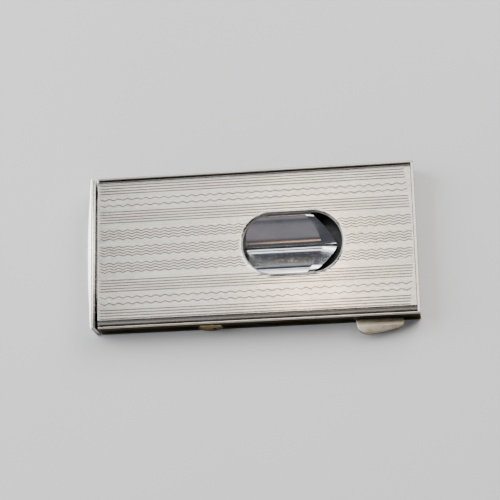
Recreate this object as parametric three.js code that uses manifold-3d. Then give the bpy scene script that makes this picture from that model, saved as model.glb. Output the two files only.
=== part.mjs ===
// A flat pocket cigar cutter: a sheet metal case with an oval window, a spring driven slide that
// carries a V shaped wedge blade, and a side catch with a thumb tab.
// Millimetres, +X along the case to its closed end, +Y to the plain long side, +Z out of the front.
// Inside this file x = 0 is the case mouth, y = 0 the middle of the width, z = 0 the back face.
import * as THREE from 'three';
import { mergeVertices } from 'three/addons/utils/BufferGeometryUtils.js';
import Module from 'manifold-3d';

const wasm = await Module();
wasm.setup();

// ---- driving dimensions ----------------------------------------------------------------------
const caseLength = 54.5;
const caseWidth = 26.8;
const caseThickness = 5.6;
const sheet = 0.4;              // case sheet
const caseEdgeRadius = 0.9;     // long back edges and the cover's rolled edges
const coverGroove = 0.1;        // open joint line between the cover and the tray walls
const wallRecess = 0.25;        // tray wall edges below the front face
const coverSkirt = 1.6;         // height of the cover's rolled edges
const linerThickness = 0.4;     // the two steel frame plates

const windowLength = 17.4;
const windowWidth = 10.9;
const windowCentreX = 33.5;
const linerLip = 0.2;           // the inner plate shows this much inside the window
const holeRadius = 5.5;         // round hole for the cigar, in the back
const holeSetBack = 2.9;        // the hole's centre, nearer the mouth than the window's
const collarWall = 0.45;
const collarFlange = 0.65;
const collarFlangeThickness = 0.25;

const bladeSheet = 0.35;
const bladeTroughHalf = 4.33;   // half width of the V at its shoulders
const bladeTipShort = 1.3;      // the tip stops short of the window's far end
const bladePointLength = 4.1;   // from the flange corners to the tip
const bladePointBulge = 1.1;    // the cutting edges bow this far from the tip
const bladeBackRun = 9.5;       // blade behind the cigar hole
const bladeRivetRadius = 0.4;
const keelSoftness = 0.8;       // rounding of the V's bottom line
const troughHollow = 0.35;      // how far the V's sides are hollow, from straight (0) to a bowl (1)
const keelClearance = 0.98;     // under the keel, down to the collar's flange

const deckThickness = 0.4;
const railThickness = 0.4;
const railFromEnd = 5.5;        // the carriage rails stop this far from the closed end
const railOverLiner = 0.6;      // room under the rails for the catch hook
const openClearance = 1.6;      // tip of the blade past the hole when the slide is out
const lugLength = 2;
const rodRadius = 0.5;
const rodFromWall = 3.65;       // rod axes to the inner faces of the long walls
const rodHeadRadius = 0.9;
const rodHeadLength = 0.7;
const bushWall = 0.4;
const springWire = 0.4;
const springTurns = 13;
const springRailGap = 0.8;      // between the coils and the rails
const blockLength = 2.7;
const blockPinLength = 1.9;     // end pins in the end block
const endPinRadius = 0.5;
const endPinY = 5.8;
const postRadius = 0.5;
const postX = 3.2;

const capReach = 2.65;          // thumb cap in front of the case mouth
const capInset = 0.05;          // cap inside the line of the case's long sides
const capNose = 1.55;           // depth of the cap's rounded bar
const capBow = 0.45;            // the bar's outer edge is this much fuller in the middle
const capCornerLength = 3.2;    // the cap's corners start to turn this far from its ends
const backingThickness = 0.5;
const endWallThickness = 0.4;
const endWallHalf = 10;
const screwHeadRadius = 0.9;
const screwHeadHeight = 0.45;
const screwSlotWidth = 0.24;
const screwRadius = 0.5;
const screwBite = 0.8;          // screw length in the cap
const screwY = 5;

const leafThickness = 0.35;
const leafHeight = 2.4;
const leafTail = 1.5;           // leaf behind the rivet
const catchPivotX = 19;
const catchRivetRadius = 2.1;
const catchRivetDome = 0.55;
const catchShankRadius = 0.6;
const tabFromEnd = 2.8;         // thumb tab to the closed end
const tabLength = 8.1;
const tabReach = 2.4;           // out of the case at the tab's fullest point
const tabThickness = 1.1;
const tabDrop = 1.4;            // tab's lower face under the middle of the thickness
const hookLength = 2.5;
const hookThickness = 0.4;
const hookRivetRadius = 0.35;

// clearances
const fit = 0.05;               // between parts that are assembled and stay put
const slack = 0.1;              // between parts that move past each other
const rodRunning = 0.06;        // radial clearance of the bushes on the rods
const springClearance = 0.25;   // between the rod and the coils
const slotClearance = 0.3;      // along the tab's slot in the wall
const past = 1;                 // how far a cutting piece runs past the face it cuts

// fineness of round surfaces
const roundSteps = 10;          // segments per quarter turn on outlines
const collarSteps = 40;         // sides of the round cigar hole and its collar
const pinSteps = 20;            // sides of pins, screws and rivets
const keelSteps = 8;            // flats from the keel to each shoulder of the V

// ---- derived levels and places -----------------------------------------------------------------
const halfWidth = caseWidth / 2;
const wallTop = caseThickness - wallRecess;
const innerHalf = halfWidth - sheet;
const coverHalf = innerHalf - coverGroove;
const coverUnder = caseThickness - sheet;
const linerTop = coverUnder - fit;
const linerUnder = linerTop - linerThickness;
const linerHalf = coverHalf - caseEdgeRadius;
const backLinerTop = sheet + fit + linerThickness;
const collarFlangeUnder = backLinerTop + fit / 2;
const collarTop = collarFlangeUnder + collarFlangeThickness;
const flangeTop = linerUnder - 2 * slack;
const flangeUnder = flangeTop - bladeSheet;
const keelTop = collarTop + keelClearance + bladeSheet;
const deckTop = flangeUnder - fit;
const deckUnder = deckTop - deckThickness;
const railUnder = backLinerTop + railOverLiner;

const holeCentreX = windowCentreX - holeSetBack;
const bladeTipX = windowCentreX + windowLength / 2 - bladeTipShort;
const bladeCornerX = bladeTipX - bladePointLength;
const bladeStartX = holeCentreX - holeRadius - bladeBackRun;
const slideTravel = bladeTipX - (holeCentreX - holeRadius) + openClearance;

const rodOffsetY = innerHalf - rodFromWall;
const rodZ = (railUnder + deckTop) / 2;
const springMean = rodRadius + springClearance + springWire / 2;
const carriageHalf = rodOffsetY - springMean - springWire / 2 - springRailGap;
const bladeFlangeHalf = carriageHalf - 2 * slack;
const railEndX = caseLength - railFromEnd;
const bushRadius = rodRadius + rodRunning + bushWall;
const lugHalf = rodOffsetY + bushRadius + sheet;
const rodHeadEndX = 2 * rodHeadLength + slack;
const lugX = rodHeadEndX + slack + slideTravel;
const blockStartX = caseLength - sheet - fit - blockLength;

const capInnerX = -capReach + capNose;
const backingEndX = capInnerX + backingThickness;
const endWallStartX = backingEndX + fit;
const endWallEndX = endWallStartX + endWallThickness;
const screwZ = (railUnder + deckUnder) / 2;

const tabEndX = caseLength - tabFromEnd;
const tabStartX = tabEndX - tabLength;
const tabLowZ = caseThickness / 2 - tabDrop;
const tabTopZ = tabLowZ + tabThickness;
const leafOuterY = -(innerHalf - slack);
const leafInnerY = leafOuterY + leafThickness;
const leafEndX = tabEndX - leafThickness * 2;
const leafLowZ = (caseThickness - leafHeight) / 2 - slack;
const catchPivotZ = leafLowZ + leafHeight / 2;
const hookX = tabStartX + tabLength * 0.17;
const hookLowZ = backLinerTop + fit;
const hookRivetX = hookX + hookLength / 2;
const hookRivetZ = leafLowZ + 2 * hookRivetRadius;
const tenon = {
  fromX: tabStartX + tabLength * 0.57,
  toX: tabStartX + tabLength * 0.79,
  fromZ: tabLowZ + 3 * slack,
  toZ: tabTopZ - 3 * slack,
};

// ---- materials ---------------------------------------------------------------------------------
const material = (color, roughness, metalness = 1) =>
  new THREE.MeshStandardMaterial({ color, roughness, metalness });
const caseSilver = material(0xb9b6ae, 0.35);
const capSilver = material(0xe6e4df, 0.15);
const polishedSteel = material(0xa9acb2, 0.12);
const dullSteel = material(0x6e7073, 0.45);
const wornBrass = material(0x9a7c4e, 0.4);

// ---- solids ------------------------------------------------------------------------------------
/** A closed three.js geometry as a solid that can be cut and joined. */
function solid(geometry) {
  const bare = geometry.index ? geometry.toNonIndexed() : geometry.clone();
  bare.deleteAttribute('normal');
  bare.deleteAttribute('uv');
  const merged = mergeVertices(bare, 1e-5);
  return new wasm.Manifold(new wasm.Mesh({
    numProp: 3,
    vertProperties: new Float32Array(merged.attributes.position.array),
    triVerts: new Uint32Array(merged.index.array),
  }));
}

/** A solid as a three.js geometry again. */
function geometryOf(body) {
  const result = body.getMesh();
  const geometry = new THREE.BufferGeometry();
  geometry.setAttribute('position', new THREE.BufferAttribute(result.vertProperties, 3));
  geometry.setIndex(new THREE.BufferAttribute(result.triVerts, 1));
  const flat = geometry.toNonIndexed();
  flat.computeVertexNormals();
  return flat;
}

/** An outline in X and Y, raised from one height to another. */
function raise(outline, fromZ, toZ, segments = roundSteps) {
  const geometry = new THREE.ExtrudeGeometry(outline, {
    depth: toZ - fromZ, bevelEnabled: false, curveSegments: segments,
  });
  return geometry.translate(0, 0, fromZ);
}

/** A section in Y and Z, drawn out along X. */
function drawAlongX(section, fromX, toX, segments = roundSteps) {
  const geometry = raise(section, 0, toX - fromX, segments);
  const axes = new THREE.Matrix4().makeBasis(
    new THREE.Vector3(0, 1, 0), new THREE.Vector3(0, 0, 1), new THREE.Vector3(1, 0, 0));
  return geometry.applyMatrix4(axes).translate(fromX, 0, 0);
}

/** A section in X and Z, drawn out along Y. */
function drawAlongY(section, fromY, toY, segments = roundSteps) {
  const geometry = raise(section, 0, toY - fromY, segments);
  const axes = new THREE.Matrix4().makeBasis(
    new THREE.Vector3(1, 0, 0), new THREE.Vector3(0, 0, 1), new THREE.Vector3(0, -1, 0));
  return geometry.applyMatrix4(axes).translate(0, toY, 0);
}

/** A plain block between two corners. */
function block(x0, x1, y0, y1, z0, z1) {
  const box = new THREE.BoxGeometry(x1 - x0, y1 - y0, z1 - z0);
  return box.translate((x0 + x1) / 2, (y0 + y1) / 2, (z0 + z1) / 2);
}

/** A turned piece: radius and height pairs from the axis back to the axis, along +Z. */
function turned(profile, segments = 24) {
  const points = profile.map(([radius, height]) => new THREE.Vector2(radius, height));
  return new THREE.LatheGeometry(points, segments).rotateX(Math.PI / 2);
}

/** The same turned piece laid along +X or +Y, with its profile heights on that axis. */
const turnedAlongX = (profile, segments) => turned(profile, segments).rotateY(Math.PI / 2);
const turnedAlongY = (profile, segments) => turned(profile, segments).rotateX(-Math.PI / 2);

/** A plain round bar's profile between two heights. */
const barProfile = (radius, from, to) => [[0, from], [radius, from], [radius, to], [0, to]];

/** A dome's profile of a given rim radius and height that starts at a level and faces down. */
function domeDown(radius, height, level, steps = 6) {
  const points = [];
  for (let step = 0; step <= steps; step += 1) {
    const angle = (step / steps) * Math.PI / 2;
    points.push([radius * Math.sin(angle), level - height * Math.cos(angle)]);
  }
  return points;
}

// ---- outlines ----------------------------------------------------------------------------------
/** A long oval with round ends, centred on a point of the X axis. */
function ovalOutline(centreX, length, width) {
  const radius = width / 2;
  const straight = length / 2 - radius;
  const outline = new THREE.Shape();
  outline.moveTo(centreX - straight, -radius);
  outline.lineTo(centreX + straight, -radius);
  outline.absarc(centreX + straight, 0, radius, -Math.PI / 2, Math.PI / 2, false);
  outline.lineTo(centreX - straight, radius);
  outline.absarc(centreX - straight, 0, radius, Math.PI / 2, Math.PI * 1.5, false);
  return outline;
}

/** A box section whose two lower corners are rounded. */
function roundBottomSection(half, low, high, radius) {
  const section = new THREE.Shape();
  section.moveTo(-half + radius, low);
  section.lineTo(half - radius, low);
  section.absarc(half - radius, low + radius, radius, -Math.PI / 2, 0, false);
  section.lineTo(half, high);
  section.lineTo(-half, high);
  section.lineTo(-half, low + radius);
  section.absarc(-half + radius, low + radius, radius, Math.PI, Math.PI * 1.5, false);
  return section;
}

/** The front cover's section: a flat sheet with both long edges rolled down. */
function coverSection() {
  const outer = caseEdgeRadius;
  const inner = caseEdgeRadius - sheet;
  const skirtEnd = caseThickness - coverSkirt;
  const bend = coverHalf - outer;
  const bendZ = caseThickness - outer;
  const section = new THREE.Shape();
  section.moveTo(coverHalf - sheet, skirtEnd);
  section.lineTo(coverHalf, skirtEnd);
  section.lineTo(coverHalf, bendZ);
  section.absarc(bend, bendZ, outer, 0, Math.PI / 2, false);
  section.lineTo(-bend, caseThickness);
  section.absarc(-bend, bendZ, outer, Math.PI / 2, Math.PI, false);
  section.lineTo(-coverHalf, skirtEnd);
  section.lineTo(-coverHalf + sheet, skirtEnd);
  section.lineTo(-coverHalf + sheet, bendZ);
  section.absarc(-bend, bendZ, inner, Math.PI, Math.PI / 2, true);
  section.lineTo(bend, coverUnder);
  section.absarc(bend, bendZ, inner, Math.PI / 2, 0, true);
  section.closePath();
  return section;
}

/** Height of the blade's upper face at a distance from the middle: a V with a soft bottom line. */
function troughHeight(distance) {
  const rise = Math.hypot(distance, keelSoftness) - keelSoftness;
  const fullRise = Math.hypot(bladeTroughHalf, keelSoftness) - keelSoftness;
  const bowl = (distance / bladeTroughHalf) ** 2;
  const share = (1 - troughHollow) * rise / fullRise + troughHollow * bowl;
  return keelTop + (flangeTop - keelTop) * share;
}

/** The wedge blade's section: flat flanges on both sides of a V with a rounded keel. */
function bladeSection() {
  const top = [];
  for (let step = -keelSteps; step <= keelSteps; step += 1) {
    const y = (step / keelSteps) * bladeTroughHalf;
    top.push([y, troughHeight(y)]);
  }
  const section = new THREE.Shape();
  section.moveTo(-bladeFlangeHalf, flangeTop);
  section.lineTo(-bladeFlangeHalf, flangeUnder);
  top.forEach(([y, z]) => section.lineTo(y, z - bladeSheet));
  section.lineTo(bladeFlangeHalf, flangeUnder);
  section.lineTo(bladeFlangeHalf, flangeTop);
  top.reverse().forEach(([y, z]) => section.lineTo(y, z));
  section.closePath();
  return section;
}

/** The blade seen from the front: a strip whose leading end runs to a point. */
function bladePlan() {
  const shoulderY = bladeTroughHalf + 2 * deckThickness;
  const bulgeX = bladeTipX - bladePointBulge;
  const plan = new THREE.Shape();
  plan.moveTo(bladeStartX, -bladeFlangeHalf);
  plan.lineTo(bladeCornerX, -bladeFlangeHalf);
  plan.lineTo(bladeCornerX, -shoulderY);
  plan.quadraticCurveTo(bulgeX, -shoulderY / 2, bladeTipX, 0);
  plan.quadraticCurveTo(bulgeX, shoulderY / 2, bladeCornerX, shoulderY);
  plan.lineTo(bladeCornerX, bladeFlangeHalf);
  plan.lineTo(bladeStartX, bladeFlangeHalf);
  plan.closePath();
  return plan;
}

/** The thumb tab seen from the front: full at its near corner and falling away to the far one. */
function tabPlan() {
  const tipY = -halfWidth - tabReach;
  const along = (share) => tabStartX + tabLength * share;
  const out = (share) => -halfWidth - tabReach * share;
  const plan = new THREE.Shape();
  plan.moveTo(tabStartX, leafOuterY - fit);
  plan.lineTo(tabStartX, out(0.15));
  plan.quadraticCurveTo(along(0.02), tipY, along(0.26), tipY);
  plan.quadraticCurveTo(along(0.55), out(0.98), along(0.93), out(0.6));
  plan.quadraticCurveTo(tabEndX, out(0.5), tabEndX, out(0.25));
  plan.lineTo(tabEndX, leafOuterY - fit);
  plan.closePath();
  return plan;
}

/** The thumb cap seen from the front: a bar with round corners and a slightly bowed outer edge. */
function capPlan() {
  const half = halfWidth - capInset;
  const cornerX = -capReach + capBow;
  const plan = new THREE.Shape();
  plan.moveTo(capInnerX, -half);
  plan.lineTo(capInnerX, half);
  plan.quadraticCurveTo(cornerX, half, cornerX, half - capCornerLength);
  plan.quadraticCurveTo(-capReach, half / 2, -capReach, 0);
  plan.quadraticCurveTo(-capReach, -half / 2, cornerX, -half + capCornerLength);
  plan.quadraticCurveTo(cornerX, -half, capInnerX, -half);
  plan.closePath();
  return plan;
}

/** The thumb cap's section along the case: flat inside, rounded outside. */
function capSection() {
  const margin = fit;
  const middle = caseThickness / 2;
  const nose = middle - margin;
  const section = new THREE.Shape();
  section.moveTo(capInnerX, margin);
  section.lineTo(capInnerX, caseThickness - margin);
  section.absellipse(capInnerX, middle, capNose, nose, Math.PI / 2, Math.PI * 1.5, false);
  section.closePath();
  return section;
}

/** A coil of round wire along +X. */
class CoilPath extends THREE.Curve {
  constructor(fromX, toX, centreY, centreZ, radius, turns) {
    super();
    Object.assign(this, { fromX, toX, centreY, centreZ, radius, turns });
  }

  getPoint(t, target = new THREE.Vector3()) {
    const angle = t * this.turns * Math.PI * 2;
    return target.set(
      this.fromX + (this.toX - this.fromX) * t,
      this.centreY + this.radius * Math.cos(angle),
      this.centreZ + this.radius * Math.sin(angle));
  }
}

// ---- the case ----------------------------------------------------------------------------------
function backTray() {
  const shell = solid(drawAlongX(
    roundBottomSection(halfWidth, 0, wallTop, caseEdgeRadius), 0, caseLength));
  const cavity = solid(drawAlongX(
    roundBottomSection(innerHalf, sheet, caseThickness, caseEdgeRadius - sheet), -past,
    caseLength - sheet));
  const tabSlot = solid(block(tabStartX - slotClearance, tabEndX + slotClearance,
    -halfWidth - past, -innerHalf + slack, tabLowZ - slotClearance / 2, tabTopZ + slotClearance / 2));
  const rivetHole = solid(turnedAlongY(
    barProfile(catchShankRadius + fit, -halfWidth - past, -innerHalf + slack))
    .translate(catchPivotX, 0, catchPivotZ));
  let tray = shell.subtract(cavity).subtract(cigarHole()).subtract(tabSlot).subtract(rivetHole);
  for (const side of [-1, 1]) {
    const pinHole = turnedAlongX(
      barProfile(endPinRadius + fit, blockStartX, caseLength + past), pinSteps);
    tray = tray.subtract(solid(pinHole.translate(0, side * endPinY, rodZ)));
  }
  return geometryOf(tray);
}

function frontCover() {
  const sheetBody = solid(drawAlongX(coverSection(), 0, caseLength - sheet - coverGroove));
  const window = solid(raise(ovalOutline(windowCentreX, windowLength, windowWidth),
    coverUnder - past, caseThickness + past));
  return geometryOf(sheetBody.subtract(window));
}

/** The round hole through the back, as the piece to cut away: the collar fits in it. */
function cigarHole() {
  return solid(turned(barProfile(holeRadius + collarWall + fit, -past, collarTop + past), collarSteps)
    .translate(holeCentreX, 0, 0));
}

function linerPlate(fromZ) {
  return solid(block(sheet, caseLength - sheet - 2 * coverGroove, -linerHalf, linerHalf,
    fromZ, fromZ + linerThickness));
}

function windowLiner() {
  const window = raise(
    ovalOutline(windowCentreX, windowLength - 2 * linerLip, windowWidth - 2 * linerLip),
    linerUnder - past, linerTop + past);
  return geometryOf(linerPlate(linerUnder).subtract(solid(window)));
}

function backLiner() {
  return geometryOf(linerPlate(sheet + fit).subtract(cigarHole()));
}

function cigarCollar() {
  const outer = holeRadius + collarWall;
  const rim = fit / 2;
  const profile = [
    [outer - 2 * fit, rim], [outer, rim], [outer, collarFlangeUnder],
    [outer + collarFlange, collarFlangeUnder], [outer + collarFlange, collarTop],
    [holeRadius, collarTop], [holeRadius, sheet], [outer - 2 * fit, rim],
  ];
  return turned(profile, collarSteps).translate(holeCentreX, 0, 0);
}

function endBlock() {
  let body = solid(block(blockStartX, blockStartX + blockLength, -lugHalf, lugHalf,
    backLinerTop + slack, linerUnder - slack));
  for (const side of [-1, 1]) {
    const rodHole = turnedAlongX(
      barProfile(rodRadius + fit, blockStartX - past, caseLength), pinSteps);
    const pinHole = turnedAlongX(barProfile(
      endPinRadius + fit, caseLength - blockPinLength - sheet - 2 * fit, caseLength), pinSteps);
    body = body.subtract(solid(rodHole.translate(0, side * rodOffsetY, rodZ)));
    body = body.subtract(solid(pinHole.translate(0, side * endPinY, rodZ)));
  }
  return geometryOf(body);
}

function springRod(side) {
  const end = caseLength - sheet - 2 * fit;
  const head = rodHeadEndX - rodHeadLength;
  const profile = [[0, head], [rodHeadRadius - slack, head], [rodHeadRadius, head + slack],
    [rodHeadRadius, rodHeadEndX], [rodRadius, rodHeadEndX], [rodRadius, end], [0, end]];
  return turnedAlongX(profile, pinSteps).translate(0, side * rodOffsetY, rodZ);
}

function endPin(side) {
  const profile = barProfile(endPinRadius, caseLength - sheet - blockPinLength, caseLength);
  return turnedAlongX(profile, pinSteps).translate(0, side * endPinY, rodZ);
}

function linerPost(side) {
  return turned(barProfile(postRadius, backLinerTop + fit / 2, linerUnder - fit / 2), pinSteps)
    .translate(postX, side * (linerHalf - postRadius - fit), 0);
}

function catchRivet() {
  const outside = -halfWidth - fit / 2;
  const headFrom = leafInnerY + slack;
  const profile = [
    ...domeDown(catchRivetRadius, catchRivetDome, outside),
    [catchShankRadius, outside], [catchShankRadius, headFrom],
    [2 * catchShankRadius, headFrom], [2 * catchShankRadius, headFrom + catchShankRadius / 2],
    [0, headFrom + catchShankRadius / 2],
  ];
  return turnedAlongY(profile, pinSteps).translate(catchPivotX, 0, catchPivotZ);
}

function pushSpring(side) {
  const wire = new THREE.Shape();
  wire.absarc(0, 0, springWire / 2, 0, Math.PI * 2, false);
  const from = lugX + lugLength + springWire / 2 + fit;
  const to = blockStartX - springWire / 2 - fit;
  const path = new CoilPath(from, to, side * rodOffsetY, rodZ, springMean, springTurns);
  return new THREE.ExtrudeGeometry(wire, {
    steps: springTurns * 12, curveSegments: 3, bevelEnabled: false, extrudePath: path,
  });
}

// ---- the slide ---------------------------------------------------------------------------------
function thumbCap() {
  const bar = solid(drawAlongY(capSection(), -caseWidth, caseWidth));
  let cap = bar.intersect(solid(raise(capPlan(), -past, caseThickness + past)));
  for (const side of [-1, 1]) {
    const screwHole = turnedAlongX(
      barProfile(screwRadius + fit, capInnerX - screwBite - slack, capInnerX + past), pinSteps);
    cap = cap.subtract(solid(screwHole.translate(0, side * screwY, screwZ)));
  }
  return geometryOf(cap);
}

function capBacking() {
  const margin = 2 * slack;
  let plate = solid(block(capInnerX + fit, backingEndX, -halfWidth + margin, halfWidth - margin,
    margin, caseThickness - margin));
  for (const side of [-1, 1]) {
    const hole = turnedAlongX(barProfile(screwRadius + fit, -capReach, past), pinSteps);
    plate = plate.subtract(solid(hole.translate(0, side * screwY, screwZ)));
  }
  return geometryOf(plate);
}

function slideCarriage() {
  const deckEndX = bladeCornerX - 2 * deckThickness;
  const slotHalf = bladeTroughHalf + bladeSheet + slotClearance;
  const railInner = carriageHalf - railThickness;
  let body = solid(block(endWallStartX, deckEndX, -carriageHalf, carriageHalf, deckUnder, deckTop));
  body = body.subtract(solid(block(bladeStartX - slotClearance, deckEndX + past, -slotHalf,
    slotHalf, deckUnder - past, deckTop + past)));
  body = body.add(solid(block(endWallStartX, endWallEndX, -endWallHalf, endWallHalf,
    railUnder, deckTop)));
  for (const side of [-1, 1]) {
    const across = (from, to) => [Math.min(side * from, side * to), Math.max(side * from, side * to)];
    body = body.add(solid(block(endWallStartX, railEndX, ...across(railInner, carriageHalf),
      railUnder, deckTop)));
    body = body.add(solid(block(lugX, lugX + lugLength, ...across(railInner, lugHalf),
      railUnder + slack, deckTop - slack)));
    const bushHole = turnedAlongX(
      barProfile(bushRadius + fit, lugX - past, lugX + lugLength + past), pinSteps);
    body = body.subtract(solid(bushHole.translate(0, side * rodOffsetY, rodZ)));
    const screwHole = turnedAlongX(
      barProfile(screwRadius + fit, endWallStartX - past, endWallEndX + past), pinSteps);
    body = body.subtract(solid(screwHole.translate(0, side * screwY, screwZ)));
  }
  bladeRivetPlaces().forEach(([x, y]) => {
    const hole = turned(
      barProfile(bladeRivetRadius + fit, deckUnder - past, deckTop + past), pinSteps);
    body = body.subtract(solid(hole.translate(x, y, 0)));
  });
  const latchNotch = block(hookX - 2 * slack, hookX + hookLength + 2 * slack,
    -carriageHalf - past, -railInner + slack, railUnder - past, railUnder + 2 * hookThickness);
  return geometryOf(body.subtract(solid(latchNotch)));
}

function wedgeBlade() {
  let body = solid(drawAlongX(bladeSection(), bladeStartX, bladeTipX + past));
  body = body.intersect(solid(raise(bladePlan(), 0, caseThickness)));
  bladeRivetPlaces().forEach(([x, y]) => {
    const hole = turned(
      barProfile(bladeRivetRadius + fit, flangeUnder - past, flangeTop + past), pinSteps);
    body = body.subtract(solid(hole.translate(x, y, 0)));
  });
  return geometryOf(body);
}

/** The four blade rivets, one near each corner of the flanges. */
function bladeRivetPlaces() {
  const fromEnd = 4 * bladeRivetRadius;
  const y = carriageHalf - railThickness - 2 * bladeRivetRadius;
  const backX = bladeStartX + fromEnd;
  const frontX = bladeCornerX - 2 * deckThickness - fromEnd;
  return [[backX, -y], [backX, y], [frontX, -y], [frontX, y]];
}

function bladeRivet([x, y]) {
  const head = bladeRivetRadius * 1.7;
  const lowHead = deckUnder - fit / 2;
  const highHead = flangeTop + fit / 2;
  const profile = [
    [0, lowHead - bladeRivetRadius / 2], [head, lowHead - bladeRivetRadius / 2], [head, lowHead],
    [bladeRivetRadius, lowHead], [bladeRivetRadius, highHead],
    [head, highHead], [bladeRivetRadius, highHead + slack], [0, highHead + slack],
  ];
  return turned(profile, pinSteps).translate(x, y, 0);
}

function capScrew(side) {
  const headFrom = endWallEndX + fit;
  const headTo = headFrom + screwHeadHeight;
  const tip = capInnerX - screwBite;
  const profile = [
    [0, tip], [screwRadius, tip], [screwRadius, headFrom], [screwHeadRadius, headFrom],
    [screwHeadRadius, headTo - slack], [screwHeadRadius - slack, headTo], [0, headTo],
  ];
  const slot = block(headTo - screwHeadHeight / 2, headTo + past,
    -screwSlotWidth / 2, screwSlotWidth / 2, -screwHeadRadius - past, screwHeadRadius + past);
  const screw = solid(turnedAlongX(profile, pinSteps)).subtract(solid(slot));
  return geometryOf(screw).translate(0, side * screwY, screwZ);
}

function rodBush(side) {
  const bore = rodRadius + rodRunning;
  const to = lugX + lugLength;
  const profile = [[bore, lugX], [bushRadius, lugX], [bushRadius, to], [bore, to], [bore, lugX]];
  return turnedAlongX(profile, pinSteps).translate(0, side * rodOffsetY, rodZ);
}

// ---- the catch ---------------------------------------------------------------------------------
/** The hole that the hook's rivet passes through, from one place to another across the leaf. */
function hookRivetHole(fromY, toY) {
  return solid(turnedAlongY(barProfile(hookRivetRadius + fit, fromY, toY), pinSteps)
    .translate(hookRivetX, 0, hookRivetZ));
}

function catchLeaf() {
  const leaf = solid(block(catchPivotX - leafTail, leafEndX, leafOuterY, leafInnerY,
    leafLowZ, leafLowZ + leafHeight));
  const shankHole = solid(turnedAlongY(
    barProfile(catchShankRadius + slack, leafOuterY - past, leafInnerY + past), pinSteps)
    .translate(catchPivotX, 0, catchPivotZ));
  const tenonHole = solid(block(tenon.fromX - fit, tenon.toX + fit,
    leafOuterY - past, leafInnerY + past, tenon.fromZ - fit, tenon.toZ + fit));
  return geometryOf(leaf.subtract(shankHole).subtract(tenonHole)
    .subtract(hookRivetHole(leafOuterY - past, leafInnerY + past)));
}

function thumbTab() {
  const tab = solid(raise(tabPlan(), tabLowZ, tabTopZ, roundSteps));
  const root = solid(block(tenon.fromX, tenon.toX, leafOuterY - past, leafInnerY + slack,
    tenon.fromZ, tenon.toZ));
  return geometryOf(tab.add(root));
}

function catchHook() {
  const legFrom = leafInnerY + fit;
  const legTo = legFrom + hookThickness;
  const footTop = hookLowZ + hookThickness;
  const toothEnd = -carriageHalf + railThickness;
  const endX = hookX + hookLength;
  const leg = solid(block(hookX, endX, legFrom, legTo, hookLowZ, hookRivetZ + 3 * hookRivetRadius));
  const foot = solid(block(hookX, endX, legFrom, toothEnd, hookLowZ, footTop));
  const tooth = solid(block(hookX, endX, -carriageHalf, toothEnd, footTop - slack,
    railUnder - fit));
  return geometryOf(leg.add(foot).add(tooth).subtract(hookRivetHole(legFrom - past, legTo + past)));
}

function hookRivet() {
  const headFrom = leafInnerY + hookThickness + 2 * fit;
  const head = 1.7 * hookRivetRadius;
  const profile = [[0, leafOuterY + fit], [hookRivetRadius, leafOuterY + fit],
    [hookRivetRadius, headFrom], [head, headFrom], [hookRivetRadius, headFrom + 2 * slack],
    [0, headFrom + 2 * slack]];
  return turnedAlongY(profile, pinSteps).translate(hookRivetX, 0, hookRivetZ);
}

// ---- assembly ----------------------------------------------------------------------------------
const group = new THREE.Group();
const inner = new THREE.Group();
group.add(inner);
inner.position.set(
  -(caseLength - capReach) / 2,
  tabReach / 2,
  0);

/** Adds one named piece. */
function add(name, geometry, finish) {
  const mesh = new THREE.Mesh(geometry, finish);
  mesh.name = name;
  inner.add(mesh);
}

add('back_tray', backTray(), caseSilver);
add('front_cover', frontCover(), caseSilver);
add('window_liner', windowLiner(), polishedSteel);
add('back_liner', backLiner(), dullSteel);
add('cigar_collar', cigarCollar(), caseSilver);
add('end_block', endBlock(), wornBrass);
add('catch_rivet', catchRivet(), wornBrass);
add('thumb_cap', thumbCap(), capSilver);
add('cap_backing', capBacking(), caseSilver);
add('slide_carriage', slideCarriage(), dullSteel);
add('wedge_blade', wedgeBlade(), polishedSteel);
add('catch_leaf', catchLeaf(), dullSteel);
add('thumb_tab', thumbTab(), wornBrass);
add('catch_hook', catchHook(), dullSteel);
add('hook_rivet', hookRivet(), dullSteel);
bladeRivetPlaces().forEach((place, index) => {
  add(`blade_rivet_${index + 1}`, bladeRivet(place), dullSteel);
});
for (const [sideName, side] of [['near', -1], ['far', 1]]) {
  add(`spring_rod_${sideName}`, springRod(side), polishedSteel);
  add(`push_spring_${sideName}`, pushSpring(side), dullSteel);
  add(`rod_bush_${sideName}`, rodBush(side), wornBrass);
  add(`end_pin_${sideName}`, endPin(side), caseSilver);
  add(`liner_post_${sideName}`, linerPost(side), dullSteel);
  add(`cap_screw_${sideName}`, capScrew(side), dullSteel);
}

export default group;
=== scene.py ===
"""The looks of a flat pocket cigar cutter: engraved case, wedge blade, thumb cap and side catch.

Every piece is built in millimetres on a bench whose origin is the case mouth, on the back face, in
the middle of the width, and is then placed in the model's own frame.
"""

import logging
import math
from contextlib import contextmanager
from dataclasses import dataclass, field
from enum import Enum
from typing import Callable, Iterable, Iterator, Optional, Sequence

import bmesh
import bpy
import numpy as np
from mathutils import Matrix, Vector


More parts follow.
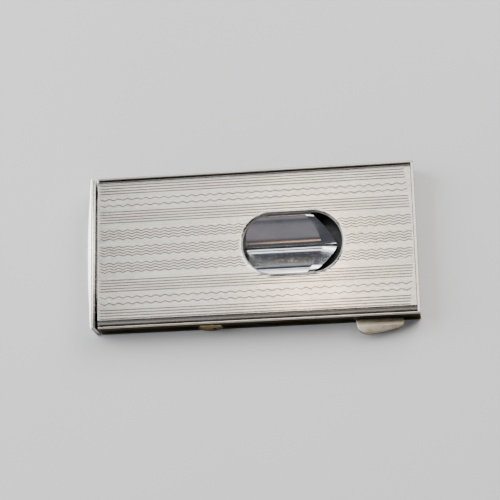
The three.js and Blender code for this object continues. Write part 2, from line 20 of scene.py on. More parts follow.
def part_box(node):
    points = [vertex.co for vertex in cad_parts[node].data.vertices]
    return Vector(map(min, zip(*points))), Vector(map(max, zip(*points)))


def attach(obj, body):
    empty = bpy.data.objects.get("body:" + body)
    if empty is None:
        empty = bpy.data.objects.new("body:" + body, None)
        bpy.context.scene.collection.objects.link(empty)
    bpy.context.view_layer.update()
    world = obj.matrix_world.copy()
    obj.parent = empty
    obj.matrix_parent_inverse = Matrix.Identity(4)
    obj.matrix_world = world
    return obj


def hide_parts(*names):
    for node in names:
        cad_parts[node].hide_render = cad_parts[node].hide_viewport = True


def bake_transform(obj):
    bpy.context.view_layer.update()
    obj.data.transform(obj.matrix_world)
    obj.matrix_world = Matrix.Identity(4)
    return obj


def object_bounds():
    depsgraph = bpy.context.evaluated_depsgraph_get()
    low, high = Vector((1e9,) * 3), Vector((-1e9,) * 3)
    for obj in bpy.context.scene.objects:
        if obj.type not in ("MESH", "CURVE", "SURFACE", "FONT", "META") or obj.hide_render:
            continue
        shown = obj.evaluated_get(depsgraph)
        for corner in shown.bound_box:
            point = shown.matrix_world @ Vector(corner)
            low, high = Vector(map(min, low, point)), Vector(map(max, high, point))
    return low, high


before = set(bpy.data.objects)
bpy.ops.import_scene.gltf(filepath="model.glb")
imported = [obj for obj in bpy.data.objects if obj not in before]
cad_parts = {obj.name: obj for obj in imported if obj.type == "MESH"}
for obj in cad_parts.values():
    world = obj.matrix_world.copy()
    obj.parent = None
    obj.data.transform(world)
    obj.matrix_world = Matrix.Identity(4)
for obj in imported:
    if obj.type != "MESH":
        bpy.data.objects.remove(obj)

log = logging.getLogger("cutter")

MM = 0.001
CAD_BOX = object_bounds()
MERGE = 1e-4           # vertices closer than this are one, in millimetres
FIT = 0.05             # between parts that are assembled and stay put
HEAD_TO_SHANK = 1.7    # a small rivet's head radius over its shank's
PLATE_BORDER = 3.0     # a plate's hole lies at least this far inside its outline
Point2 = tuple[float, float]
Point3 = tuple[float, float, float]


class Body(Enum):
    """The rigid bodies that pieces ride on."""

    CASE = "case"
    SLIDE = "slide"
    CATCH = "catch"


class Along(Enum):
    """The bench axis a turned or swept piece lies along."""

    X = 0
    Y = 1
    Z = 2


# ---- the bench ----


class Bench:
    """Turns the model's frame in metres into millimetres from the case mouth, and back.

    Attributes:
        origin: the bench's zero in the model's frame, in metres.
    """

    def __init__(self) -> None:
        """Reads the case's place from the tray."""
        tray_low, tray_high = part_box("back_tray")
        self.origin = Vector((tray_low.x, (tray_low.y + tray_high.y) / 2, tray_low.z))

    def box(self, node: str) -> tuple[Vector, Vector]:
        """Gives a CAD node's box on the bench.

        Args:
            node: the CAD node's name.

        Returns:
            The lowest and highest corner, in millimetres.
        """
        low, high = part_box(node)
        return (low - self.origin) / MM, (high - self.origin) / MM

    def middle(self, node: str) -> Point3:
        """Gives the middle of a CAD node's box on the bench, in millimetres."""
        low, high = self.box(node)
        return tuple((a + b) / 2 for a, b in zip(low, high))

    def points(self, node: str) -> np.ndarray:
        """Gives a CAD node's vertices on the bench, in millimetres."""
        co = np.array([v.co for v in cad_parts[node].data.vertices], float)
        return (co - np.array(self.origin)) / MM

    def hole_box(self, node: str) -> tuple[Vector, Vector]:
        """Gives the box of a plate's hole.

        Args:
            node: the CAD plate's name.

        Returns:
            The lowest and highest corner, in millimetres.
        """
        low, high = self.box(node)
        co = self.points(node)
        inside = np.all((co[:, :2] > np.array(low)[:2] + PLATE_BORDER)
                        & (co[:, :2] < np.array(high)[:2] - PLATE_BORDER), axis=1)
        return Vector(co[inside].min(0)), Vector(co[inside].max(0))

    def place(self, mesh: bpy.types.Mesh) -> None:
        """Moves a finished mesh from the bench into the model's frame."""
        mesh.transform(Matrix.Translation(self.origin) @ Matrix.Scale(MM, 4))

    def row(self, point: Sequence[float]) -> Vector:
        """Gives a bench point in the model's frame, in metres."""
        return self.origin + Vector(point) * MM


BENCH = Bench()


def mesh_of(name: str, points: np.ndarray, faces: Iterable[Sequence[int]]) -> bpy.types.Mesh:
    """Makes a mesh from points and faces.

    Args:
        name: the mesh's name.
        points: one row of x, y and z per vertex.
        faces: vertex numbers round each face.

    Returns:
        The new mesh, checked for broken faces.
    """
    mesh = bpy.data.meshes.new(name)
    mesh.from_pydata([tuple(p) for p in points], [], [tuple(f) for f in faces])
    mesh.validate()
    return mesh


def object_of(mesh: bpy.types.Mesh) -> bpy.types.Object:
    """Puts a mesh in the scene as an object of the same name."""
    obj = bpy.data.objects.new(mesh.name, mesh)
    bpy.context.scene.collection.objects.link(obj)
    return obj


def baked(obj: bpy.types.Object) -> bpy.types.Mesh:
    """Applies an object's modifiers and removes the object.

    Args:
        obj: an object with live modifiers.

    Returns:
        The plain mesh that the modifiers gave.
    """
    bpy.context.view_layer.update()
    depsgraph = bpy.context.evaluated_depsgraph_get()
    mesh = bpy.data.meshes.new_from_object(obj.evaluated_get(depsgraph), depsgraph=depsgraph)
    mesh.name = obj.name
    bpy.data.objects.remove(obj)
    return mesh


@contextmanager
def editing(mesh: bpy.types.Mesh) -> Iterator[bmesh.types.BMesh]:
    """Opens a mesh for editing and stores the result in it."""
    work = bmesh.new()
    work.from_mesh(mesh)
    yield work
    work.to_mesh(mesh)
    work.free()


def run_tree(obj: bpy.types.Object, tree: bpy.types.NodeTree, material: bpy.types.Material,
             values: dict[str, float]) -> bpy.types.Mesh:
    """Runs a geometry node tree on an object, which it removes.

    Args:
        obj: the object that carries the source mesh.
        tree: the node tree.
        material: the finish it sets.
        values: the tree's inputs by name, with underscores for spaces.

    Returns:
        The plain mesh that the tree gave.
    """
    modifier = obj.modifiers.new("Nodes", "NODES")
    modifier.node_group = tree
    names = {item.name: item.identifier for item in tree.interface.items_tree
             if item.in_out == "INPUT"}
    for key, value in values.items():
        modifier[names[key.replace("_", " ").title()]] = value
    modifier[names["Material"]] = material
    return baked(obj)


def cleaned(mesh: bpy.types.Mesh, outward: bool = True) -> bpy.types.Mesh:
    """Merges doubled vertices and turns the faces outward.

    Args:
        mesh: the mesh to clean in place, in millimetres.
        outward: whether the face directions are worked out again.

    Returns:
        The same mesh.
    """
    with editing(mesh) as work:
        bmesh.ops.remove_doubles(work, verts=work.verts, dist=MERGE)
        bmesh.ops.dissolve_degenerate(work, edges=work.edges, dist=MERGE)
        if outward:
            bmesh.ops.recalc_face_normals(work, faces=work.faces)
    return mesh


def ring_grid(rings: int, steps: int) -> list[tuple[int, int, int, int]]:
    """Quads between consecutive rings of points, each closed on itself.

    Args:
        rings: how many rings there are.
        steps: how many points each ring has.

    Returns:
        The quads.
    """
    return [
        (r * steps + s, r * steps + (s + 1) % steps, (r + 1) * steps + (s + 1) % steps,
         (r + 1) * steps + s)
        for r in range(rings - 1)
        for s in range(steps)
    ]


def tube_faces(rings: int, steps: int) -> list[Sequence[int]]:
    """Faces of a closed tube through rings of points, with a flat face at each end."""
    faces: list[Sequence[int]] = list(ring_grid(rings, steps))
    faces.append(tuple(range(steps))[::-1])
    faces.append(tuple(range((rings - 1) * steps, rings * steps)))
    return faces


def turn_to(points: np.ndarray, along: Along) -> np.ndarray:
    """Turns points whose long axis is Z so that it lies along another axis, keeping handedness."""
    if along is Along.X:
        return points[:, [2, 0, 1]]
    if along is Along.Y:
        return points[:, [1, 2, 0]]
    return points


def lathe(name: str, profile: Sequence[Point2], along: Along, centre: Point3,
          segments: int = 64) -> bpy.types.Mesh:
    """Turns a profile into a solid of revolution.

    Args:
        name: the mesh's name.
        profile: radius and height pairs, from the axis to the axis or closed on themselves.
        along: the axis it is turned about.
        centre: the bench point where height is zero.
        segments: faces round it.

    Returns:
        The closed mesh.
    """
    angles = np.linspace(0, 2 * math.pi, segments, endpoint=False)
    rings = [
        np.column_stack([r * np.cos(angles), r * np.sin(angles), np.full(segments, h)])
        for r, h in profile
    ]
    points = turn_to(np.vstack(rings), along) + np.array(centre)
    return cleaned(mesh_of(name, points, ring_grid(len(profile), segments)))


def arc(centre: Point2, radius: float, start: float, end: float, steps: int) -> list[Point2]:
    """Points on an arc, angles in degrees, both ends included."""
    return [
        (centre[0] + radius * math.cos(math.radians(a)),
         centre[1] + radius * math.sin(math.radians(a)))
        for a in np.linspace(start, end, steps + 1)
    ]


def oval(centre: Point2, length: float, width: float, steps: int) -> list[Point2]:
    """A long oval with round ends."""
    radius = width / 2
    run = length / 2 - radius
    right = arc((centre[0] + run, centre[1]), radius, -90, 90, steps)
    left = arc((centre[0] - run, centre[1]), radius, 90, 270, steps)
    return right + left


def circle(centre: Point2, radius: float, steps: int = 72) -> list[Point2]:
    """A round outline."""
    return arc(centre, radius, 0, 360, steps)[:-1]


def bezier(a: Point2, b: Point2, c: Point2, steps: int) -> list[Point2]:
    """Points on a quadratic curve, its last end left out."""
    return [
        tuple((1 - t) ** 2 * np.array(a) + 2 * t * (1 - t) * np.array(b) + t * t * np.array(c))
        for t in np.linspace(0, 1, steps, endpoint=False)
    ]


def plate(name: str, outer: Sequence[Point2], holes: Sequence[Sequence[Point2]], low: float,
          high: float, edge: float) -> bpy.types.Mesh:
    """Makes a flat plate with holes whose edges are all broken by a small round.

    Args:
        name: the mesh's name.
        outer: the outline, in X and Y.
        holes: the outlines of the holes.
        low: the plate's lower face.
        high: the plate's upper face.
        edge: the size of the rounded edges.

    Returns:
        The closed mesh.
    """
    curve = bpy.data.curves.new(name, "CURVE")
    curve.dimensions = "2D"
    curve.fill_mode = "BOTH"
    curve.extrude = (high - low) / 2 - edge
    curve.bevel_depth = edge
    curve.bevel_resolution = 2
    curve.offset = -edge
    for outline in (outer, *holes):
        spline = curve.splines.new("POLY")
        spline.points.add(len(outline) - 1)
        for point, (x, y) in zip(spline.points, outline):
            point.co = (x, y, 0, 1)
        spline.use_cyclic_u = True
    obj = bpy.data.objects.new(name, curve)
    bpy.context.scene.collection.objects.link(obj)
    mesh = baked(obj)
    mesh.transform(Matrix.Translation((0, 0, (low + high) / 2)))
    return cleaned(mesh)


def prism(name: str, outlines: Sequence[tuple[Sequence[Point2], float]]) -> bpy.types.Mesh:
    """A closed solid through outlines of the same number of points, each at its own height."""
    steps = len(outlines[0][0])
    points = np.array([(x, y, z) for outline, z in outlines for x, y in outline])
    return cleaned(mesh_of(name, points, tube_faces(len(outlines), steps)))


def cut(body: bpy.types.Mesh, tools: Sequence[bpy.types.Mesh],
        join: Sequence[bpy.types.Mesh] = ()) -> bpy.types.Mesh:
    """Joins solids to a body and cuts others away from it.

    Args:
        body: the closed mesh to work on.
        tools: the closed meshes to cut away.
        join: the closed meshes to join first.

    Returns:
        The resulting mesh.
    """
    obj = object_of(body)
    helpers = []
    for operation, meshes in (("UNION", join), ("DIFFERENCE", tools)):
        for mesh in meshes:
            helper = object_of(mesh)
            helpers.append(helper)
            modifier = obj.modifiers.new(operation.title(), "BOOLEAN")
            modifier.operation = operation
            modifier.solver = "EXACT"
            modifier.object = helper
    result = baked(obj)
    for helper in helpers:
        bpy.data.objects.remove(helper)
    return cleaned(result, outward=False)


def block(name: str, low: Point3, high: Point3, edge: float = 0.0) -> bpy.types.Mesh:
    """A block between two corners, its edges rounded by a given size."""
    work = bmesh.new()
    bmesh.ops.create_cube(work, size=1)
    size = Vector(high) - Vector(low)
    bmesh.ops.scale(work, vec=size, verts=work.verts)
    bmesh.ops.translate(work, vec=Vector(low) + size / 2, verts=work.verts)
    if edge:
        bmesh.ops.bevel(work, geom=work.edges[:], offset=edge, segments=2, profile=0.5,
                        affect="EDGES")
    mesh = bpy.data.meshes.new(name)
    work.to_mesh(mesh)
    work.free()
    return mesh


def softened(node: str, edge: float) -> bpy.types.Mesh:
    """Copies a CAD node and rounds its edges that are sharper than 40 degrees.

    Args:
        node: the CAD node's name.
        edge: the width of the rounded edges, in millimetres.

    Returns:
        The new mesh, on the bench.
    """
    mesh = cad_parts[node].data.copy()
    mesh.name = node + "_piece"
    mesh.transform(Matrix.Scale(1 / MM, 4) @ Matrix.Translation(-BENCH.origin))
    with editing(mesh) as work:
        bmesh.ops.remove_doubles(work, verts=work.verts, dist=MERGE)
        bmesh.ops.dissolve_limit(work, angle_limit=math.radians(1), verts=work.verts,
                                 edges=work.edges)
    mesh.materials.clear()
    obj = object_of(mesh)
    bevel = obj.modifiers.new("Edges", "BEVEL")
    bevel.width = edge
    bevel.segments = 2
    bevel.limit_method = "ANGLE"
    bevel.angle_limit = math.radians(40)
    return baked(obj)


def mark_lines(mesh: bpy.types.Mesh, face: float, up: int, depth: float,
               clear: Optional[Callable[[float, float], bool]] = None) -> None:
    """Stores how deep each vertex of an engraved sheet lies in a line, for its finish.

    Args:
        mesh: the engraved sheet, on the bench.
        face: height of the engraved face.
        up: 1 where the face looks up, -1 where it looks down.
        depth: depth of the lines.
        clear: tells the places that are never in a line.
    """
    grime = mesh.attributes.new("grime", "FLOAT", "POINT")
    for item, vertex in zip(grime.data, mesh.vertices):
        sunk = (face - vertex.co.z) * up / depth
        inside = 0.3 < sunk < 1.1 and not (clear and clear(vertex.co.x, vertex.co.y))
        item.value = min(1.0, sunk) if inside else 0.0


def crisp_plane(mesh: bpy.types.Mesh, height: float) -> None:
    """Keeps every edge sharp that borders the flat at a given bench height."""
    level = BENCH.row((0, 0, height)).z
    with editing(mesh) as work:
        for edge in work.edges:
            flat = all(abs(vertex.co.z - level) < MERGE * MM for vertex in edge.verts)
            if flat and len(edge.link_faces) == 2 and edge.calc_face_angle(0.0) > math.radians(1):
                edge.smooth = False


def add_piece(mesh: bpy.types.Mesh, body: Body, nodes: Sequence[str],
              material: bpy.types.Material, sharp: float = 32.0, ride: bool = True,
              flat: Optional[float] = None) -> bpy.types.Object:
    """Places a finished mesh and hands it to the frame.

    Args:
        mesh: the piece, on the bench.
        body: the body it moves with.
        nodes: the CAD nodes it stands for.
        material: its finish.
        sharp: edges sharper than this many degrees stay sharp in the shading.
        ride: False to leave the piece unattached to its body.
        flat: bench height of a flat face whose borders all stay sharp.

    Returns:
        The piece's object.
    """
    BENCH.place(mesh)
    mesh.materials.clear()
    mesh.materials.append(material)
    mesh.shade_smooth()
    mesh.set_sharp_from_angle(angle=math.radians(sharp))
    if flat is not None:
        crisp_plane(mesh, flat)
    obj = object_of(mesh)
    if ride:
        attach(obj, body.value)
    if nodes:
        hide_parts(*nodes)
    log.info("%s: %d faces, on %s", obj.name, len(mesh.polygons), body.value)
    return obj


def add_softened(node: str, edge: float, body: Body,
                 material: bpy.types.Material) -> None:
    """Adds a CAD node's own shape with its sharp edges rounded.

    Args:
        node: the CAD node it stands for.
        edge: the width of the rounded edges.
        body: the body it moves with.
        material: its finish.
    """
    add_piece(softened(node, edge), body, [node], material)


def add_turned(node: str, profile: Sequence[Point2], along: Along, body: Body,
               material: bpy.types.Material, segments: int = 32) -> None:
    """Adds a piece turned about the middle of its CAD node, at bench heights.

    Args:
        node: the CAD node it stands for.
        profile: radius and height pairs, as for a lathe.
        along: the axis it is turned about.
        body: the body it moves with.
        material: its finish.
        segments: faces round it.
    """
    add_piece(lathe(node + "_piece", profile, along, turning_centre(node, along), segments),
              body, [node], material)


def turning_centre(node: str, along: Along) -> Point3:
    """The middle of a CAD node, moved along one axis to the bench's zero."""
    return tuple(0.0 if axis == along.value else value
                 for axis, value in enumerate(BENCH.middle(node)))


# ---- finishes ----


class NodeBook:
    """Makes the nodes of one material, with coordinates in millimetres."""

    def __init__(self, name: str, metallic: float, roughness: float) -> None:
        """Starts a material with a metal shader.

        Args:
            name: the material's name.
            metallic: the shader's metallic value.
            roughness: the shader's own roughness, used where none is linked.
        """
        self.material = bpy.data.materials.new(name)
        self.material.use_nodes = True
        self.tree = self.material.node_tree
        self.shader = self.tree.nodes["Principled BSDF"]
        self.shader.inputs["Metallic"].default_value = metallic
        self.shader.inputs["Roughness"].default_value = roughness
        self.coordinates = self.tree.nodes.new("ShaderNodeTexCoord").outputs["Object"]

    def link(self, source: bpy.types.NodeSocket, target: bpy.types.NodeSocket) -> None:
        """Joins two sockets."""
        self.tree.links.new(source, target)

    def stretched(self, scale: Point3) -> bpy.types.NodeSocket:
        """Object coordinates in millimetres, times a scale on each axis."""
        mapping = self.tree.nodes.new("ShaderNodeMapping")
        mapping.inputs["Scale"].default_value = [s / MM for s in scale]
        self.link(self.coordinates, mapping.inputs["Vector"])
        return mapping.outputs["Vector"]

    def grain(self, scale: Point3, detail: float = 3.0, rough: float = 0.55
              ) -> bpy.types.NodeSocket:
        """A noise value whose features measure about one over the scale, in millimetres."""
        node = self.tree.nodes.new("ShaderNodeTexNoise")
        node.inputs["Scale"].default_value = 1.0
        node.inputs["Detail"].default_value = detail
        node.inputs["Roughness"].default_value = rough
        self.link(self.stretched(scale), node.inputs["Vector"])
        return node.outputs["Fac"]

    def cells(self, scale: float) -> bpy.types.NodeSocket:
        """Distance to scattered points, for pits and specks."""
        node = self.tree.nodes.new("ShaderNodeTexVoronoi")
        node.inputs["Scale"].default_value = 1.0
        self.link(self.stretched((scale, scale, scale)), node.inputs["Vector"])
        return node.outputs["Distance"]

    def remap(self, value: bpy.types.NodeSocket, from_low: float, from_high: float,
              to_low: float, to_high: float) -> bpy.types.NodeSocket:
        """A value moved from one range to another and held inside it."""
        node = self.tree.nodes.new("ShaderNodeMapRange")
        for key, number in (("From Min", from_low), ("From Max", from_high),
                            ("To Min", to_low), ("To Max", to_high)):
            node.inputs[key].default_value = number
        self.link(value, node.inputs["Value"])
        return node.outputs["Result"]

    def math(self, operation: str, a: bpy.types.NodeSocket, b: object) -> bpy.types.NodeSocket:
        """Arithmetic on two values, the second a socket or a number."""
        node = self.tree.nodes.new("ShaderNodeMath")
        node.operation = operation
        self.link(a, node.inputs[0])
        if isinstance(b, (int, float)):
            node.inputs[1].default_value = b
        else:
            self.link(b, node.inputs[1])
        return node.outputs["Value"]

    def mix(self, share: bpy.types.NodeSocket, a: object, b: object) -> bpy.types.NodeSocket:
        """A colour between two colours, each a socket or three numbers."""
        node = self.tree.nodes.new("ShaderNodeMix")
        node.data_type = "RGBA"
        self.link(share, node.inputs["Factor"])
        for key, colour in (("A", a), ("B", b)):
            socket = next(i for i in node.inputs if i.name == key and i.type == "RGBA")
            if isinstance(colour, tuple):
                socket.default_value = (*colour, 1.0)
            else:
                self.link(colour, socket)
        return next(o for o in node.outputs if o.type == "RGBA")

    def bump(self, height: bpy.types.NodeSocket, depth: float, strength: float = 1.0,
             after: Optional[bpy.types.NodeSocket] = None) -> bpy.types.NodeSocket:
        """A bump of a given depth in millimetres, over an earlier one if there is one."""
        node = self.tree.nodes.new("ShaderNodeBump")
        node.inputs["Strength"].default_value = strength
        node.inputs["Distance"].default_value = depth * MM
        self.link(height, node.inputs["Height"])
        if after is not None:
            self.link(after, node.inputs["Normal"])
        return node.outputs["Normal"]

    def sideways(self, share: float) -> bpy.types.NodeSocket:
        """A share on faces that look sideways, and none on faces that look up or down."""
        split = self.tree.nodes.new("ShaderNodeSeparateXYZ")
        normals = next(node for node in self.tree.nodes if node.bl_idname == "ShaderNodeTexCoord")
        self.link(normals.outputs["Normal"], split.inputs["Vector"])
        return self.remap(self.math("ABSOLUTE", split.outputs["Z"], 0.0), 0.15, 0.5, share, 0.0)

    def place(self, axis: str) -> bpy.types.NodeSocket:
        """The surface's own coordinate on one axis, in metres."""
        split = self.tree.nodes.new("ShaderNodeSeparateXYZ")
        self.link(self.coordinates, split.inputs["Vector"])
        return split.outputs[axis]

    def off_middle(self) -> bpy.types.NodeSocket:
        """The distance from the middle of the case's width, in metres."""
        side = self.math("SUBTRACT", self.place("Y"), BENCH.origin.y)
        return self.math("ABSOLUTE", side, 0.0)

    def wear(self, colour: bpy.types.NodeSocket, worn: Point3, amount: float
             ) -> bpy.types.NodeSocket:
        """Brings out another colour on convex edges."""
        geometry = self.tree.nodes.new("ShaderNodeNewGeometry")
        edge = self.remap(geometry.outputs["Pointiness"], 0.52, 0.62, 0.0, amount)
        return self.mix(edge, colour, worn)

    def done(self, colour: Optional[bpy.types.NodeSocket] = None,
             roughness: Optional[bpy.types.NodeSocket] = None,
             normal: Optional[bpy.types.NodeSocket] = None) -> bpy.types.Material:
        """Joins the results to the shader and gives the material."""
        for key, socket in (("Base Color", colour), ("Roughness", roughness), ("Normal", normal)):
            if socket is not None:
                self.link(socket, self.shader.inputs[key])
        return self.material


def rivet_mark() -> Point3:
    """The place of the punch mark on the catch rivet's dome, on the bench."""
    low, high = BENCH.box("catch_rivet")
    radius = (high.x - low.x) / 2
    middle = BENCH.middle("catch_rivet")
    return (middle[0] + radius * 0.34, low.y + 0.12, middle[2] + radius * 0.25)


@dataclass(frozen=True)
class EngravedSilver:
    """Worn silver sheet with fine lines left by the rolls, dirt in its cuts and painted shade on
    its folds.

    Attributes:
        name: the material's name.
        light: its colour where clean.
        dull: its colour where dulled.
        grime: the dirt in the engraved lines.
        painted_side_shade: the painted shade colour on the folded long edges, in place of the dark
            reflection they show.
        roughness: its middle roughness.
    """

    name: str = "engraved_silver"
    light: Point3 = (0.68, 0.65, 0.6)
    dull: Point3 = (0.58, 0.555, 0.505)
    grime: Point3 = (0.17, 0.16, 0.135)
    painted_side_shade: Point3 = (0.085, 0.075, 0.06)
    roughness: float = 0.14

    def build(self, flat_half: float, side_shade_share: float, turn: float = 0.6, rim: float = 99.0,
              grazing: float = 1.0) -> bpy.types.Material:
        """Makes the material.

        Args:
            flat_half: how far from the middle the painted shade starts.
            side_shade_share: how dark the painted shade on the folds is, from 0 to 1.
            turn: over what distance the painted shade comes in.
            rim: bench height a little under which the painted shade fades out, leaving the edges
                above it bright.
            grazing: how bright it shines at a shallow angle, from 0 to 1.

        Returns:
            The material.
        """
        book = NodeBook(self.name, 1.0, self.roughness)
        book.shader.inputs["Specular Tint"].default_value = (grazing, grazing, grazing, 1.0)
        tone = book.remap(book.grain((0.12, 0.5, 0.3), 4.0), 0.35, 0.7, 0.0, 1.0)
        colour = book.mix(tone, self.dull, self.light)
        streaks = book.remap(book.grain((0.05, 3.2, 3.2), 3.0, 0.6), 0.42, 0.62, 0.0, 0.3)
        colour = book.mix(streaks, colour, tuple(c * 0.72 for c in self.dull))
        # Painted shade on the folded long edges, standing in for the dark reflection they show; it
        # fades out just under the rim height.
        turned = book.remap(book.off_middle(), flat_half * MM, (flat_half + turn) * MM,
                            0.0, side_shade_share)
        patch = book.remap(book.grain((0.3, 1.2, 1.2), 4.0), 0.3, 0.7, 0.88, 1.0)
        low = BENCH.origin.z + (rim - 0.1) * MM
        below = book.remap(book.place("Z"), low, low + 0.08 * MM, 1.0, 0.0)
        turned = book.math("MULTIPLY", turned, below)
        colour = book.mix(book.math("MULTIPLY", turned, patch), colour, self.painted_side_shade)
        lines = book.tree.nodes.new("ShaderNodeAttribute")
        lines.attribute_name = "grime"
        dirt = book.remap(book.grain((0.6, 2.0, 1.0), 3.0), 0.3, 0.7, 0.6, 1.0)
        colour = book.mix(book.math("MULTIPLY", lines.outputs["Fac"], dirt), colour, self.grime)
        specks = book.remap(book.cells(1.1), 0.04, 0.09, 1.0, 0.0)
        colour = book.mix(book.math("MULTIPLY", specks, 0.5), colour, self.grime)
        rolled = book.grain((0.35, 26.0, 26.0), 3.0, 0.6)
        scratches = book.remap(book.grain((1.2, 11.0, 11.0), 4.0, 0.7), 0.62, 0.8, 0.0, 1.0)
        roughness = book.remap(book.grain((0.3, 0.9, 0.5), 4.0), 0.3, 0.75,
                               self.roughness - 0.03, self.roughness + 0.08)
        normal = book.bump(rolled, 0.003, 0.9)
        normal = book.bump(scratches, 0.002, 0.6, normal)
        return book.done(book.wear(colour, (0.8, 0.77, 0.7), 0.35), roughness, normal)


@dataclass(frozen=True)
class BrightMetal:
    """A smooth or brushed metal with cloudy tone, fine streaks along one axis and small specks.

    Attributes:
        name: the material's name.
        light: its colour where clean.
        dull: its colour where dulled.
        roughness: its middle roughness.
        spread: how much the roughness wanders.
        streak: the scale of the streaks on each axis.
        streak_depth: their depth in millimetres.
        speck_share: how dark the specks are.
    """

    name: str
    light: Point3
    dull: Point3
    roughness: float
    spread: float = 0.05
    streak: Point3 = (0.4, 18.0, 18.0)
    streak_depth: float = 0.001
    speck_share: float = 0.2

    def build(self, crease: float = 0.0, side_shade: float = 0.0) -> bpy.types.Material:
        """Makes the material.

        Args:
            crease: half width of a painted dark line along the middle, if there is one, standing in
                for the dark reflection along a keel.
            side_shade: how dark the painted shade is on faces that look sideways, from 0 to 1.

        Returns:
            The material.
        """
        book = NodeBook(self.name, 1.0, self.roughness)
        tone = book.remap(book.grain((0.25, 0.4, 0.4), 4.0), 0.35, 0.7, 0.0, 1.0)
        colour = book.mix(tone, self.dull, self.light)
        if crease:
            # A near-black painted line along the middle, standing in for the dark reflection along
            # the blade's keel.
            line = book.remap(book.off_middle(), crease * 0.6 * MM, crease * 1.4 * MM, 0.9, 0.0)
            colour = book.mix(line, colour, (0.03, 0.03, 0.03))
        if side_shade:
            # Painted shade on faces that look sideways, standing in for the shadow and dark floor
            # they face.
            colour = book.mix(book.sideways(side_shade), colour, (0.05, 0.045, 0.035))
        specks = book.remap(book.cells(1.6), 0.04, 0.09, 1.0, 0.0)
        dark = tuple(c * 0.35 for c in self.dull)
        colour = book.mix(book.math("MULTIPLY", specks, self.speck_share), colour, dark)
        roughness = book.remap(book.grain((0.5, 1.5, 1.5), 5.0), 0.3, 0.75,
                               self.roughness - self.spread, self.roughness + self.spread)
        normal = book.bump(book.grain(self.streak, 3.0, 0.6), self.streak_depth, 0.8)
        return book.done(book.wear(colour, tuple(min(1.0, c * 1.15) for c in self.light), 0.5),
                         roughness, normal)


@dataclass(frozen=True)
class WornPlate:
    """Brass showing through worn silver plating, pitted by handling, with painted shade on the
    faces that look sideways.

    Attributes:
        name: the material's name.
        plated: how much of the plating is left, from 0 to 1.
        side_shade: how dark the painted shade is on faces that look sideways, from 0 to 1.
        mark: the bench place of a punch mark, if there is one.
        brass: the colour of the bare metal.
        plating: the colour of the plating.
        dirt: the colour of the dirt in the pits, also used for the painted shade on faces that look
            sideways.
        roughness: its middle roughness.
    """

    name: str
    plated: float
    side_shade: float = 0.0
    mark: Optional[Point3] = None
    brass: Point3 = (0.4, 0.29, 0.15)
    plating: Point3 = (0.4, 0.37, 0.3)
    dirt: Point3 = (0.07, 0.055, 0.04)
    roughness: float = 0.33

    def build(self) -> bpy.types.Material:
        """Makes the material."""
        book = NodeBook(self.name, 1.0, self.roughness)
        book.shader.inputs["Specular Tint"].default_value = (0.4, 0.4, 0.4, 1.0)
        patch = book.grain((0.9, 0.9, 0.9), 6.0, 0.72)
        shift = 0.3 * self.plated
        share = book.remap(patch, 0.56 - shift, 0.7 - shift, 0.0, 1.0)
        colour = book.mix(share, self.brass, self.plating)
        # Painted shade on faces that look sideways, in the dirt colour.
        if self.side_shade:
            colour = book.mix(book.sideways(self.side_shade), colour, self.dirt)
        if self.mark:
            away = book.tree.nodes.new("ShaderNodeVectorMath")
            away.operation = "DISTANCE"
            away.inputs[1].default_value = BENCH.row(self.mark)
            book.link(book.coordinates, away.inputs[0])
            # Near-black painted shade inside the punch dent.
            hole = book.remap(away.outputs["Value"], 0.34 * MM, 0.42 * MM, 1.0, 0.0)
            colour = book.mix(hole, colour, (0.01, 0.01, 0.01))
        pits = book.remap(book.cells(2.4), 0.1, 0.26, 1.0, 0.0)
        chosen = book.remap(book.grain((1.3, 1.3, 1.3), 2.0), 0.46, 0.56, 0.0, 0.9)
        pits = book.math("MULTIPLY", pits, chosen)
        colour = book.mix(pits, colour, self.dirt)
        roughness = book.remap(patch, 0.3, 0.7, self.roughness - 0.08, self.roughness + 0.14)
        normal = book.bump(book.grain((3.0, 3.0, 3.0), 5.0, 0.7), 0.03, 0.8)
        normal = book.bump(pits, -0.05, 1.0, normal)
        return book.done(book.wear(colour, (0.78, 0.7, 0.54), 0.8), roughness, normal)


